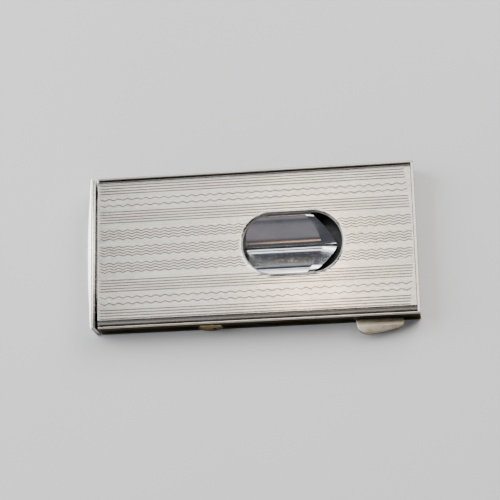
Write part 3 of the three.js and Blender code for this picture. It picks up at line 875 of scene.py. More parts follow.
@dataclass
class Finishes:
    """Every material of the cutter, made once."""

    bright_cap: bpy.types.Material = field(init=False)
    edge_silver: bpy.types.Material = field(init=False)
    backing_silver: bpy.types.Material = field(init=False)
    blade_steel: bpy.types.Material = field(init=False)
    frame_steel: bpy.types.Material = field(init=False)
    liner_steel: bpy.types.Material = field(init=False)
    dark_steel_and_shade: bpy.types.Material = field(init=False)
    spring_steel: bpy.types.Material = field(init=False)
    tab_plate: bpy.types.Material = field(init=False)
    rivet_plate: bpy.types.Material = field(init=False)
    brass: bpy.types.Material = field(init=False)

    def __post_init__(self) -> None:
        """Builds the materials."""
        self.bright_cap = BrightMetal(
            "bright_cap", (0.93, 0.92, 0.91), (0.86, 0.85, 0.84), 0.17, 0.04,
            (14.0, 0.5, 14.0), 0.0008, 0.1).build()
        self.edge_silver = BrightMetal(
            "edge_silver", (0.78, 0.75, 0.68), (0.62, 0.59, 0.52), 0.26, 0.06).build()
        # The backing's faces that look sideways carry painted shade.
        self.backing_silver = BrightMetal(
            "backing_silver", (0.74, 0.71, 0.64), (0.6, 0.57, 0.5), 0.26, 0.06).build(side_shade=0.85)
        # The blade steel carries a painted dark reflection line along its keel.
        self.blade_steel = BrightMetal(
            "blade_steel", (0.84, 0.85, 0.88), (0.74, 0.75, 0.79), 0.13, 0.03,
            (0.5, 16.0, 16.0), 0.0007, 0.5).build(crease=0.16)
        self.frame_steel = BrightMetal(
            "frame_steel", (0.5, 0.5, 0.5), (0.38, 0.38, 0.39), 0.3, 0.08,
            (6.0, 6.0, 6.0), 0.002, 0.3).build()
        self.liner_steel = BrightMetal(
            "liner_steel", (0.3, 0.3, 0.29), (0.2, 0.2, 0.2), 0.3, 0.08,
            (6.0, 6.0, 6.0), 0.002, 0.3).build()
        # Near-black steel for the inner back plate and the liner posts: partly the steel's own dark
        # colour, partly painted shade for the dim inside of the case.
        self.dark_steel_and_shade = BrightMetal(
            "dark_steel_and_shade", (0.09, 0.09, 0.095), (0.05, 0.05, 0.055), 0.42, 0.1,
            (5.0, 5.0, 5.0), 0.003, 0.4).build()
        self.spring_steel = BrightMetal(
            "spring_steel", (0.42, 0.42, 0.44), (0.3, 0.3, 0.32), 0.3, 0.06,
            (9.0, 9.0, 9.0), 0.001, 0.2).build()
        # The tab's faces that look sideways carry painted shade.
        self.tab_plate = WornPlate("tab_plate", 0.5, side_shade=0.85, roughness=0.36,
                                   brass=(0.46, 0.36, 0.21), plating=(0.46, 0.44, 0.38)).build()
        self.rivet_plate = WornPlate("rivet_plate", 0.2, mark=rivet_mark(),
                                     brass=(0.17, 0.12, 0.06), plating=(0.3, 0.27, 0.2),
                                     roughness=0.17).build()
        self.brass = BrightMetal(
            "turned_brass", (0.68, 0.52, 0.28), (0.52, 0.39, 0.2), 0.3, 0.08,
            (8.0, 8.0, 8.0), 0.001, 0.3).build()


# ---- engraved sheet ----


@dataclass(frozen=True)
class LineGroup:
    """A band of parallel engraved lines.

    Attributes:
        centre: the band's middle, from the middle of the width.
        count: how many lines it has.
        pitch: the distance between them.
        wavy: whether they wave.
    """

    centre: float
    count: int
    pitch: float
    wavy: bool

    def places(self) -> list[float]:
        """Where its lines lie across the width."""
        first = self.centre - self.pitch * (self.count - 1) / 2
        return [first + self.pitch * i for i in range(self.count)]


@dataclass(frozen=True)
class LinePattern:
    """The bands of lines on one side of the middle, repeated on the other, and the lines' size."""

    half: tuple[LineGroup, ...] = (
        LineGroup(2.9, 4, 0.485, True),
        LineGroup(6.09, 5, 0.485, False),
        LineGroup(8.72, 2, 1.11, True),
        LineGroup(11.09, 4, 0.485, False),
    )
    middle: LineGroup = LineGroup(0.0, 4, 0.485, True)
    line_width: float = 0.21
    depth: float = 0.055
    wave_length: float = 1.6
    wave_height: float = 0.125

    def lines(self, limit: float) -> list[tuple[float, bool]]:
        """Every line's place and whether it waves, in order across the width.

        Args:
            limit: lines further out than this are left off.

        Returns:
            Place and wave flag pairs.
        """
        found = [(y, self.middle.wavy) for y in self.middle.places()]
        for group in self.half:
            for y in group.places():
                found += [(y, group.wavy), (-y, group.wavy)]
        return sorted(line for line in found if abs(line[0]) < limit)


class EngravingTree:
    """The geometry nodes that cut the lines into a swept sheet."""

    INPUTS = (
        ("Wave Length", 1.6), ("Wave Height", 0.15), ("Cut Depth", 0.05), ("Line Start", 0.3),
        ("Line End", 53.0), ("End Run", 0.4), ("End Bow", 0.006),
    )

    def __init__(self) -> None:
        """Builds the node group once."""
        self.tree = bpy.data.node_groups.new("engraved_lines", "GeometryNodeTree")
        face = self.tree.interface
        face.new_socket("Geometry", in_out="INPUT", socket_type="NodeSocketGeometry")
        for name, value in self.INPUTS:
            socket = face.new_socket(name, in_out="INPUT", socket_type="NodeSocketFloat")
            socket.default_value = value
        face.new_socket("Material", in_out="INPUT", socket_type="NodeSocketMaterial")
        face.new_socket("Geometry", in_out="OUTPUT", socket_type="NodeSocketGeometry")
        self.source = self.tree.nodes.new("NodeGroupInput")
        self.wire()

    def node(self, kind: str, **values: object) -> bpy.types.Node:
        """Adds a node and sets its properties."""
        node = self.tree.nodes.new(kind)
        for key, value in values.items():
            setattr(node, key, value)
        return node

    def value(self, target: bpy.types.NodeSocket, source: object) -> None:
        """Feeds a socket from another socket or a number."""
        if isinstance(source, (int, float)):
            target.default_value = source
        else:
            self.tree.links.new(source, target)

    def sum(self, operation: str, a: object, b: object = 0.0) -> bpy.types.NodeSocket:
        """Arithmetic on two values."""
        node = self.node("ShaderNodeMath", operation=operation)
        self.value(node.inputs[0], a)
        self.value(node.inputs[1], b)
        return node.outputs[0]

    def attribute(self, name: str) -> bpy.types.NodeSocket:
        """Reads a number stored on each point."""
        node = self.node("GeometryNodeInputNamedAttribute", data_type="FLOAT")
        node.inputs["Name"].default_value = name
        return node.outputs["Attribute"]

    def ramp(self, value: object, low: object, high: object, to_low: float, to_high: float
             ) -> bpy.types.NodeSocket:
        """A smooth step between two places."""
        node = self.node("ShaderNodeMapRange", interpolation_type="SMOOTHSTEP")
        for key, source in (("Value", value), ("From Min", low), ("From Max", high),
                            ("To Min", to_low), ("To Max", to_high)):
            self.value(node.inputs[key], source)
        return node.outputs["Result"]

    def wire(self) -> None:
        """Joins the nodes: waves across, cuts inward, and a run-out at both ends."""
        out = self.source.outputs
        place = self.node("ShaderNodeSeparateXYZ")
        self.value(place.inputs[0], self.node("GeometryNodeInputPosition").outputs[0])
        x, y = place.outputs["X"], place.outputs["Y"]
        turn = self.sum("MULTIPLY", self.sum("DIVIDE", x, out["Wave Length"]), 2 * math.pi)
        wave = self.sum("MULTIPLY", self.sum("SINE", turn), out["Wave Height"])
        wave = self.sum("MULTIPLY", wave, self.attribute("wave"))
        start_end = self.sum("ADD", out["Line Start"], out["End Run"])
        opening = self.ramp(x, out["Line Start"], start_end, 0.0, 1.0)
        bow = self.sum("MULTIPLY", self.sum("MULTIPLY", y, y), out["End Bow"])
        stop = self.sum("SUBTRACT", out["Line End"], bow)
        closing = self.ramp(x, self.sum("SUBTRACT", stop, out["End Run"]), stop, 1.0, 0.0)
        depth = self.sum("MULTIPLY", self.attribute("cut"), out["Cut Depth"])
        depth = self.sum("MULTIPLY", self.sum("MULTIPLY", depth, opening), closing)
        offset = self.node("ShaderNodeCombineXYZ")
        self.value(offset.inputs["Y"], wave)
        self.value(offset.inputs["Z"], self.sum("MULTIPLY", depth, -1.0))
        moved = self.node("GeometryNodeSetPosition")
        self.value(moved.inputs["Geometry"], out["Geometry"])
        self.value(moved.inputs["Offset"], offset.outputs[0])
        real = self.node("GeometryNodeRealizeInstances")
        self.value(real.inputs[0], moved.outputs[0])
        dressed = self.node("GeometryNodeSetMaterial")
        self.value(dressed.inputs["Geometry"], real.outputs[0])
        self.value(dressed.inputs["Material"], out["Material"])
        self.value(self.node("NodeGroupOutput").inputs[0], dressed.outputs[0])

    def apply(self, mesh: bpy.types.Mesh, material: bpy.types.Material, **values: float
              ) -> bpy.types.Mesh:
        """Cuts the lines into a mesh.

        Args:
            mesh: a swept sheet with the point attributes wave and cut.
            material: its finish.
            **values: the tree's inputs, with underscores for spaces.

        Returns:
            The engraved mesh.
        """
        return run_tree(object_of(mesh), self.tree, material, values)


@dataclass
class EngravedSheet:
    """A folded sheet drawn out along the case, with engraved lines on its flat outer face.

    Attributes:
        half: half its outer width.
        face: height of its engraved face.
        up: 1 where the face looks up, -1 where it looks down.
        skirt: how far its folded long edges reach from the face.
        radius: outer radius of the folds.
        sheet: the sheet's thickness.
        start: where it starts along the case.
        end: where it ends.
        pattern: the lines.
        station: the distance between its sections.
        edge: how far its bare edges are rounded.
    """

    half: float
    face: float
    up: int
    skirt: float
    radius: float
    sheet: float
    start: float
    end: float
    pattern: LinePattern = LinePattern()
    station: float = 0.16
    edge: float = 0.16

    def section(self) -> list[tuple[float, float, float, float]]:
        """The closed section, as distance across, depth below the face, wave and cut.

        Returns:
            Points in order round the section.
        """
        right = self.lip() + self.fold(self.radius, 8)
        bend = self.fold(self.radius - self.sheet, 5)
        width = self.pattern.line_width
        lines = []
        for y, wavy in reversed(self.pattern.lines(self.half - self.radius + 0.05)):
            wave = 1.0 if wavy else 0.0
            lines += [(y + width / 2, 0.0, wave, 0.0), (y + width * 0.2, 0.0, wave, 1.0),
                      (y - width * 0.2, 0.0, wave, 1.0), (y - width / 2, 0.0, wave, 0.0)]
        plain = [[(side * y, depth, 0.0, 0.0) for y, depth in points] for side, points in
                 ((1, right), (-1, right[::-1]), (-1, bend), (1, bend[::-1]))]
        return plain[0] + lines + plain[1] + plain[2] + plain[3]

    def lip(self) -> list[Point2]:
        """Points round the bare edge of the skirt, from its inner side to its outer side."""
        middle, half = self.half - self.sheet / 2, self.sheet / 2
        return [(middle - half * math.cos(a), self.skirt - self.edge * (1 - math.sin(a)))
                for a in np.linspace(0, math.pi, 7)]

    def fold(self, radius: float, steps: int) -> list[Point2]:
        """Points round a fold, from the skirt to the face, as distance across and depth."""
        flat = self.half - self.radius
        return [(flat + radius * math.cos(math.radians(a)),
                 self.radius - radius * math.sin(math.radians(a)))
                for a in np.linspace(0, 90, steps + 1)]

    def build(self, name: str, tree: EngravingTree, material: bpy.types.Material,
              line_start: float, line_end: float) -> bpy.types.Mesh:
        """Draws the section out and engraves it.

        Args:
            name: the mesh's name.
            tree: the engraving nodes.
            material: the sheet's finish.
            line_start: where the lines start.
            line_end: where the middle lines end.

        Returns:
            The closed mesh.
        """
        section = np.array(self.section())
        count = int(round((self.end - self.start) / self.station)) + 1
        y, z = section[:, 0], self.face - self.up * section[:, 1]
        points = [np.column_stack([np.full(len(y), x), y, z])
                  for x in np.linspace(self.start, self.end, count)]
        mesh = mesh_of(name, np.vstack(points), tube_faces(count, len(section)))
        for key, values in (("wave", section[:, 2]), ("cut", section[:, 3] * self.up)):
            stored = mesh.attributes.new(key, "FLOAT", "POINT")
            stored.data.foreach_set("value", np.tile(values, count).astype(np.float32))
        mesh = tree.apply(mesh, material, wave_length=self.pattern.wave_length,
                          wave_height=self.pattern.wave_height, cut_depth=self.pattern.depth,
                          line_start=line_start, line_end=line_end)
        return cleaned(mesh)


# ---- the case ----


@dataclass
class Case:
    """The sheet metal case: engraved cover and tray, liners, collar, block, rods and rivets.

    Attributes:
        finishes: the shared materials.
        sheet: the case sheet's thickness.
        fold: outer radius of the folded edges.
        bevel_run: width of the window's bevelled edge.
        bevel_drop: depth of the window's bevelled edge.
        bevel_lean: how much wider it is towards the mouth and the catch's side.
        end_border: plain border at the closed end.
        collar_wall: thickness of the collar's tube.
        pattern: the engraved lines.
        tree: the nodes that cut them.
    """

    finishes: Finishes
    sheet: float = 0.4
    fold: float = 0.9
    bevel_run: float = 0.27
    bevel_drop: float = 0.11
    bevel_lean: Point2 = (0.08, 0.17)
    end_border: float = 0.15
    collar_wall: float = 0.45
    pattern: LinePattern = LinePattern()
    tree: EngravingTree = field(default_factory=EngravingTree)

    def build(self) -> None:
        """Makes every piece of the case."""
        self.cover()
        self.tray()
        self.liners()
        self.collar()
        self.fasteners()

    def cover(self) -> None:
        """The front sheet: rolled long edges, engraved lines and a bevelled oval window."""
        low, high = BENCH.box("front_cover")
        flat = high.y - self.fold
        # The cover's folds carry a light painted shade.
        material = EngravedSilver().build(flat, 0.15)
        sheet = EngravedSheet(high.y, high.z, 1, high.z - low.z, self.fold, self.sheet,
                              low.x, high.x, self.pattern)
        mesh = sheet.build("engraved_cover", self.tree, material, low.x + 0.15,
                           high.x - self.end_border)
        window_low, window_high = BENCH.hole_box("front_cover")
        centre = ((window_low.x + window_high.x) / 2, 0.0)
        length, width = window_high.x - window_low.x, window_high.y - window_low.y
        slope, over, lip = self.bevel_drop / self.bevel_run, 0.2, 0.04
        levels = [(0.0, low.z - 1, 0.0), (0.0, high.z - self.bevel_drop - lip, 0.0),
                  (lip, high.z - self.bevel_drop, 0.0),
                  (lip + self.bevel_run + over / slope, high.z + over,
                   1 + over / self.bevel_drop)]
        cutter = prism("window_cutter", [
            (oval((centre[0] - self.bevel_lean[0] * lean, -self.bevel_lean[1] * lean),
                  length + 2 * out, width + 2 * out, 40), z) for out, z, lean in levels])
        mesh = cut(mesh, [cutter])
        mesh.name = "engraved_cover"
        run, reach = (length - width) / 2, width / 2 + self.bevel_run + 0.07 + self.bevel_lean[1]

        def outside_lines(x: float, y: float) -> bool:
            """Whether a place is in the window's bevel or on the folds."""
            along = max(abs(x - centre[0]) - run, 0.0)
            return math.hypot(along, y) < reach or abs(y) > flat - 0.01

        mark_lines(mesh, high.z, 1, self.pattern.depth, outside_lines)
        add_piece(mesh, Body.CASE, ["front_cover"], material, 25, flat=high.z)

    def tray(self) -> None:
        """The back shell: engraved back, side walls, end wall, and its holes and slot."""
        low, high = BENCH.box("back_tray")
        flat = high.y - self.fold
        # The tray's folded walls carry full painted shade up to just under their top edge.
        material = EngravedSilver("engraved_back").build(
            high.y - 0.75 * self.sheet, 1.0, 0.15, high.z - 0.1, 0.25)
        sheet = EngravedSheet(high.y, low.z, -1, high.z - low.z, self.fold, self.sheet,
                              low.x, high.x, self.pattern)
        mesh = sheet.build("engraved_tray", self.tree, material, low.x + 0.3,
                           high.x - 2 * self.end_border)
        inset = 0.02
        wall = block("end_wall", (high.x - self.sheet, low.y + self.sheet - inset, inset),
                     (high.x - inset, high.y - self.sheet + inset, high.z - inset / 2))
        collar_low, collar_high = BENCH.hole_box("back_liner")
        hole_centre = ((collar_low.x + collar_high.x) / 2, 0.0)
        radius = (collar_high.x - collar_low.x) / 2
        round_hole = circle(hole_centre, radius)
        tools = [prism("collar_hole", [(round_hole, low.z - 1), (round_hole, self.sheet + 1)])]
        tab_low, tab_high = BENCH.box("thumb_tab")
        gap = 0.3
        tools.append(block("tab_slot", (tab_low.x - gap, low.y - 1, tab_low.z - gap / 2),
                           (tab_high.x + gap, low.y + self.sheet + gap, tab_high.z + gap / 2)))
        rivet_low, rivet_high = BENCH.box("catch_rivet")
        pivot = (rivet_low + rivet_high) / 2
        tools.append(lathe("rivet_hole", [(0, -1.5), (0.65, -1.5), (0.65, 0.2), (0, 0.2)],
                           Along.Y, (pivot.x, low.y + self.sheet, pivot.z), 32))
        for name in ("end_pin_near", "end_pin_far"):
            pin_low, pin_high = BENCH.box(name)
            pin = (pin_low + pin_high) / 2
            pin_radius = (pin_high.y - pin_low.y) / 2 + FIT
            tools.append(lathe(name + "_hole", [(0, -2), (pin_radius, -2), (pin_radius, 1), (0, 1)],
                               Along.X, (high.x, pin.y, pin.z), 32))
        mesh = cut(mesh, tools, [wall])
        mesh.name = "engraved_tray"
        mark_lines(mesh, low.z, -1, self.pattern.depth, lambda x, y: abs(y) > flat - 0.01)
        add_piece(mesh, Body.CASE, ["back_tray"], material, 25, flat=low.z)

    def liners(self) -> None:
        """The two inner steel plates."""
        steel = self.finishes.liner_steel
        for node, slot in (("window_liner", "polished_steel"), ("back_liner", "dull_steel")):
            low, high = BENCH.box(node)
            hole_low, hole_high = BENCH.hole_box(node)
            outer = [(low.x, low.y), (high.x, low.y), (high.x, high.y), (low.x, high.y)]
            centre = ((hole_low.x + hole_high.x) / 2, 0.0)
            hole = oval(centre, hole_high.x - hole_low.x, hole_high.y - hole_low.y, 36)
            if node == "back_liner":
                hole = circle(centre, (hole_high.x - hole_low.x) / 2)
            mesh = plate(node + "_piece", outer, [hole], low.z, high.z, 0.06)
            finish = steel if node == "window_liner" else self.finishes.dark_steel_and_shade
            add_piece(mesh, Body.CASE, [node], finish)

    def collar(self) -> None:
        """The turned ring with a countersunk mouth that the cigar goes into."""
        low, high = BENCH.box("cigar_collar")
        flange = (high.x - low.x) / 2
        hole_low, hole_high = BENCH.hole_box("back_liner")
        tube = (hole_high.x - hole_low.x) / 2 - FIT
        bore = tube - self.collar_wall
        lip = 0.06
        profile = [
            (tube - lip * 2, low.z), (tube - lip, low.z + 0.01), (tube, low.z + lip),
            (tube, high.z - 0.25), (flange - lip, high.z - 0.25), (flange, high.z - 0.19),
            (flange, high.z - lip), (flange - lip, high.z), (bore + lip, high.z),
            (bore, high.z - lip), (bore, 0.5), (bore + 0.06, 0.36), (tube - lip * 2, low.z),
        ]
        mesh = lathe("collar_piece", profile, Along.Z, turning_centre("cigar_collar", Along.Z), 128)
        add_piece(mesh, Body.CASE, ["cigar_collar"], self.finishes.edge_silver)

    def fasteners(self) -> None:
        """The end block, pins, rods, posts and the domed rivet."""
        add_softened("end_block", 0.12, Body.CASE, self.finishes.brass)
        for side in ("near", "far"):
            low, high = BENCH.box(f"end_pin_{side}")
            radius = (high.y - low.y) / 2
            profile = [(0, low.x), (radius - 0.1, low.x), (radius, low.x + 0.1),
                       (radius, high.x - 0.08), (radius - 0.06, high.x - 0.02), (0, high.x)]
            add_turned(f"end_pin_{side}", profile, Along.X, Body.CASE,
                       self.finishes.edge_silver)
            self.rod(side)
            low, high = BENCH.box(f"liner_post_{side}")
            radius = (high.y - low.y) / 2
            waist = radius * 0.8
            profile = [(0, low.z), (radius, low.z), (radius, low.z + 0.6), (waist, low.z + 0.75),
                       (waist, high.z - 0.75), (radius, high.z - 0.6), (radius, high.z),
                       (0, high.z)]
            add_turned(f"liner_post_{side}", profile, Along.Z, Body.CASE,
                       self.finishes.dark_steel_and_shade)
        self.rivet()

    def rod(self, side: str) -> None:
        """A headed spring rod."""
        low, high = BENCH.box(f"spring_rod_{side}")
        head, shaft, length, lip = (high.y - low.y) / 2, 0.5, 0.7, 0.12
        profile = [(0, low.x), (head - 2 * lip, low.x), (head, low.x + lip),
                   (head, low.x + length - lip / 2), (head - lip / 2, low.x + length),
                   (shaft, low.x + length), (shaft, high.x - lip), (shaft - lip, high.x),
                   (0, high.x)]
        add_turned(f"spring_rod_{side}", profile, Along.X, Body.CASE,
                   self.finishes.frame_steel)

    def rivet(self) -> None:
        """The domed rivet on the long side, with a small punch mark off its centre."""
        low, high = BENCH.box("catch_rivet")
        radius = (high.x - low.x) / 2
        wall = BENCH.box("back_tray")[0].y - FIT / 2
        dome = wall - low.y
        shank, head = 0.6, 1.2
        rise = [(radius * math.sin(a), low.y + dome * (1 - math.cos(a)) ** 0.9)
                for a in np.linspace(0, math.pi / 2 * 0.97, 26)]
        profile = rise + [(radius, wall - 0.02), (radius - 0.03, wall), (shank, wall),
                          (shank, high.y - 0.3), (head, high.y - 0.3), (head, high.y - 0.08),
                          (head - 0.1, high.y), (0, high.y)]
        mesh = lathe("catch_rivet_piece", profile, Along.Y,
                     turning_centre("catch_rivet", Along.Y), 72)
        mark = rivet_mark()
        dent, size = 0.22, 0.38
        for vertex in mesh.vertices:
            if vertex.co.y < wall - 0.05:
                away = math.hypot(vertex.co.x - mark[0], vertex.co.z - mark[2])
                if away < size:
                    vertex.co.y += dent * (0.5 + 0.5 * math.cos(math.pi * away / size))
        add_piece(mesh, Body.CASE, ["catch_rivet"], self.finishes.rivet_plate, 40)


# ---- the slide ----


@dataclass
class Slide:
    """The moving part: thumb cap, backing plate, carriage, wedge blade and their fasteners.

    Attributes:
        finishes: the shared materials.
        blade_sheet: the blade's thickness.
        trough_near: the V's shoulder on the catch's side, from the middle.
        trough_far: its shoulder on the plain side, under the cover's edge.
        softness: rounding of the V's bottom line.
        hollow: how far the V's sides are hollow, from straight to a bowl.
        crease: depth of the fold line along the V's bottom.
        crease_half: half width of that line.
        shoulder: rounding of the V's shoulders.
        point_length: from the flange corners to the tip.
        point_bulge: how far from the tip the cutting edges bow.
        cap_bow: how much fuller the cap's outer edge is in the middle.
        cap_corner: how far from its ends the cap's corners start to turn.
        cap_rim: depth of the cap's flat rim.
        cap_fullness: the power that rounds the cap's nose, 1 for a half round.
    """

    finishes: Finishes
    blade_sheet: float = 0.35
    trough_near: float = 4.33
    trough_far: float = 5.05
    softness: float = 0.7
    hollow: float = 0.35
    crease: float = 0.1
    crease_half: float = 0.1
    shoulder: float = 0.34
    point_length: float = 4.1
    point_bulge: float = 1.1
    cap_bow: float = 0.6
    cap_corner: float = 3.8
    cap_rim: float = 0.12
    cap_fullness: float = 0.92

    @property
    def corner_y(self) -> float:
        """How far from the middle the pointed end starts."""
        return self.trough_near + 0.8

    def build(self) -> None:
        """Makes every piece of the slide."""
        self.blade()
        self.cap()
        self.backing()
        self.carriage()
        self.small_parts()

    def trough(self, across: np.ndarray, top: float, keel: float) -> np.ndarray:
        """Heights of the blade's upper face at distances from the middle.

        Args:
            across: the distances.
            top: height of the flanges.
            keel: height of the V's bottom line.

        Returns:
            The heights, with rounded shoulders.
        """
        fine = np.arange(-50, 51) * 0.02
        weight = np.exp(-0.5 * (fine / self.shoulder) ** 2)
        weight /= weight.sum()
        spots = across[:, None] + fine[None, :]
        half = np.where(spots > 0, self.trough_far, self.trough_near)
        full = np.hypot(half, self.softness) - self.softness
        rise = (np.hypot(spots, self.softness) - self.softness) / full
        bowl = (spots / half) ** 2
        share = (1 - self.hollow) * rise + self.hollow * bowl
        fold = self.crease * np.exp(-((across / self.crease_half) ** 2))
        return (keel + (top - keel) * np.minimum(share, 1.0)) @ weight - fold

    def outline(self, across: float, tip: float) -> float:
        """Where the blade ends along the case, at a distance from the middle."""
        if abs(across) >= self.corner_y:
            return tip - self.point_length
        t = 1 - abs(across) / self.corner_y
        corner, bulge = tip - self.point_length, tip - self.point_bulge
        return (1 - t) ** 2 * corner + 2 * t * (1 - t) * bulge + t * t * tip

    @staticmethod
    def grind(across: float) -> float:
        """Length of the ground bevel along the case, at a distance from the middle."""
        side = min(abs(across), 5.1)
        return 1.05 + (5.1 - side) * 0.28 + 0.35 * math.exp(-side / 0.45)

    def blade(self) -> None:
        """The wedge blade: a rounded V between flanges, its pointed end ground to an edge."""
        low, high = BENCH.box("wedge_blade")
        half, top, keel, tip = high.y, high.z, low.z + self.blade_sheet, high.x
        inner = np.linspace(-self.corner_y, self.corner_y, 241)
        wing = np.linspace(self.corner_y, half, 25)[1:]
        across = np.concatenate([-wing[::-1], inner, wing])
        heights = self.trough(across, top, keel)
        slope = np.gradient(heights, across)
        normal = np.column_stack([-slope, np.ones_like(slope)])
        normal /= np.linalg.norm(normal, axis=1)[:, None]
        body_steps, grind_steps = 14, 8
        edge = 0.03
        upper, lower = [], []
        for y, z, n in zip(across, heights, normal):
            end = self.outline(y, tip)
            run = self.grind(y) if abs(y) < self.corner_y + 1e-6 else 0.06
            body = np.linspace(low.x, end - run, body_steps + 1)
            ground = np.linspace(end - run, end, grind_steps + 1)[1:]
            drop = np.concatenate([np.zeros(body_steps + 1),
                                   np.linspace(0, 1, grind_steps + 1)[1:]])
            x = np.concatenate([body, ground])
            down = drop * (self.blade_sheet - edge)
            upper.append(np.column_stack([x, y - n[0] * down, z - n[1] * down]))
            base = self.blade_sheet
            lower.append(np.column_stack([x, np.full_like(x, y - n[0] * base),
                                          np.full_like(x, z - n[1] * base)]))
        rows, steps = len(across), body_steps + grind_steps + 1
        points = np.vstack(upper + lower)
        faces: list[Sequence[int]] = []
        shift = rows * steps
        for r in range(rows - 1):
            for s in range(steps - 1):
                a, b = r * steps + s, (r + 1) * steps + s
                faces.append((a, a + 1, b + 1, b))
                faces.append((a + shift, b + shift, b + 1 + shift, a + 1 + shift))
        rim = [r * steps for r in range(rows)]
        rim += [(rows - 1) * steps + s for s in range(1, steps)]
        rim += [r * steps + steps - 1 for r in range(rows - 2, -1, -1)]
        rim += [s for s in range(steps - 2, 0, -1)]
        for a, b in zip(rim, rim[1:] + rim[:1]):
            faces.append((a, b, b + shift, a + shift))
        mesh = mesh_of("wedge_blade_piece", points, faces)
        with editing(mesh) as work:
            bmesh.ops.recalc_face_normals(work, faces=work.faces)
        add_piece(mesh, Body.SLIDE, ["wedge_blade"],
                  self.finishes.blade_steel, 8)

    def cap(self) -> None:
        """The polished thumb bar: flat rim, rounded nose, bowed outer edge and round corners."""
        low, high = BENCH.box("thumb_cap")
        inner, reach, half = high.x, -low.x, high.y
        middle, tall = (low.z + high.z) / 2, (high.z - low.z) / 2
        bow, corner, power = self.cap_bow, self.cap_corner, self.cap_fullness
        outer = bezier((inner, half), (-reach + bow, half), (-reach + bow, half - corner), 22)
        outer += bezier((-reach + bow, half - corner), (-reach, half / 2), (-reach, 0.0), 20)
        outer.append((-reach, 0.0))
        plan = outer + [(x, -y) for x, y in reversed(outer[:-1])]
        turns = np.linspace(-math.pi / 2, math.pi / 2, 33)
        rings = []
        for x, y in plan:
            depth = max(inner - x, 0.004)
            flat = min(self.cap_rim, depth * 0.4)
            nose = depth - flat
            ring = [(inner, y, middle - tall)]
            for a in turns:
                c, s = max(math.cos(a), 0.0), math.sin(a)
                ring.append((inner - flat - nose * c ** power, y,
                             middle + tall * math.copysign(abs(s) ** power, s)))
            ring.append((inner, y, middle + tall))
            rings.append(ring)
        steps = len(rings[0])
        points = np.array([p for ring in rings for p in ring])
        faces: list[Sequence[int]] = list(ring_grid(len(rings), steps))
        faces.append(tuple(range(steps)))
        faces.append(tuple(range((len(rings) - 1) * steps, len(rings) * steps)))
        mesh = cleaned(mesh_of("thumb_cap_piece", points, faces))
        add_piece(mesh, Body.SLIDE, ["thumb_cap"], self.finishes.bright_cap, 40)

    def backing(self) -> None:
        """The flat plate between the cap and the carriage."""
        low, high = BENCH.box("cap_backing")
        over = 0.1
        mesh = block("cap_backing_piece", (low.x - FIT, low.y, low.z),
                     (high.x + over, high.y, high.z), 0.05)
        add_piece(mesh, Body.SLIDE, ["cap_backing"], self.finishes.backing_silver)

    def carriage(self) -> None:
        """The folded steel carriage."""
        add_softened("slide_carriage", 0.05, Body.SLIDE, self.finishes.liner_steel)

    def small_parts(self) -> None:
        """Blade rivets, cap screws and rod bushes."""
        for number in range(1, 5):
            self.blade_rivet(f"blade_rivet_{number}")
        for side in ("near", "far"):
            add_softened(f"cap_screw_{side}", 0.04, Body.SLIDE,
                         self.finishes.frame_steel)
            low, high = BENCH.box(f"rod_bush_{side}")
            outer, bore, lip = (high.y - low.y) / 2, 0.56, 0.06
            profile = [(bore, low.x + lip), (bore + lip, low.x), (outer - lip, low.x),
                       (outer, low.x + lip), (outer, high.x - lip), (outer - lip, high.x),
                       (bore + lip, high.x), (bore, high.x - lip), (bore, low.x + lip)]
            add_turned(f"rod_bush_{side}", profile, Along.X, Body.SLIDE,
                       self.finishes.brass, 40)

    def blade_rivet(self, node: str) -> None:
        """A low-headed rivet through the blade and the carriage."""
        low, high = BENCH.box(node)
        radius = (high.x - low.x) / 2
        shank = radius / HEAD_TO_SHANK
        profile = [(0, low.z), (radius * 0.7, low.z + 0.02), (radius, low.z + 0.15),
                   (radius, low.z + 0.2), (shank, low.z + 0.2), (shank, high.z - 0.1),
                   (radius, high.z - 0.1), (radius * 0.8, high.z - 0.03), (0, high.z)]
        add_turned(node, profile, Along.Z, Body.SLIDE, self.finishes.frame_steel)


# ---- springs ----


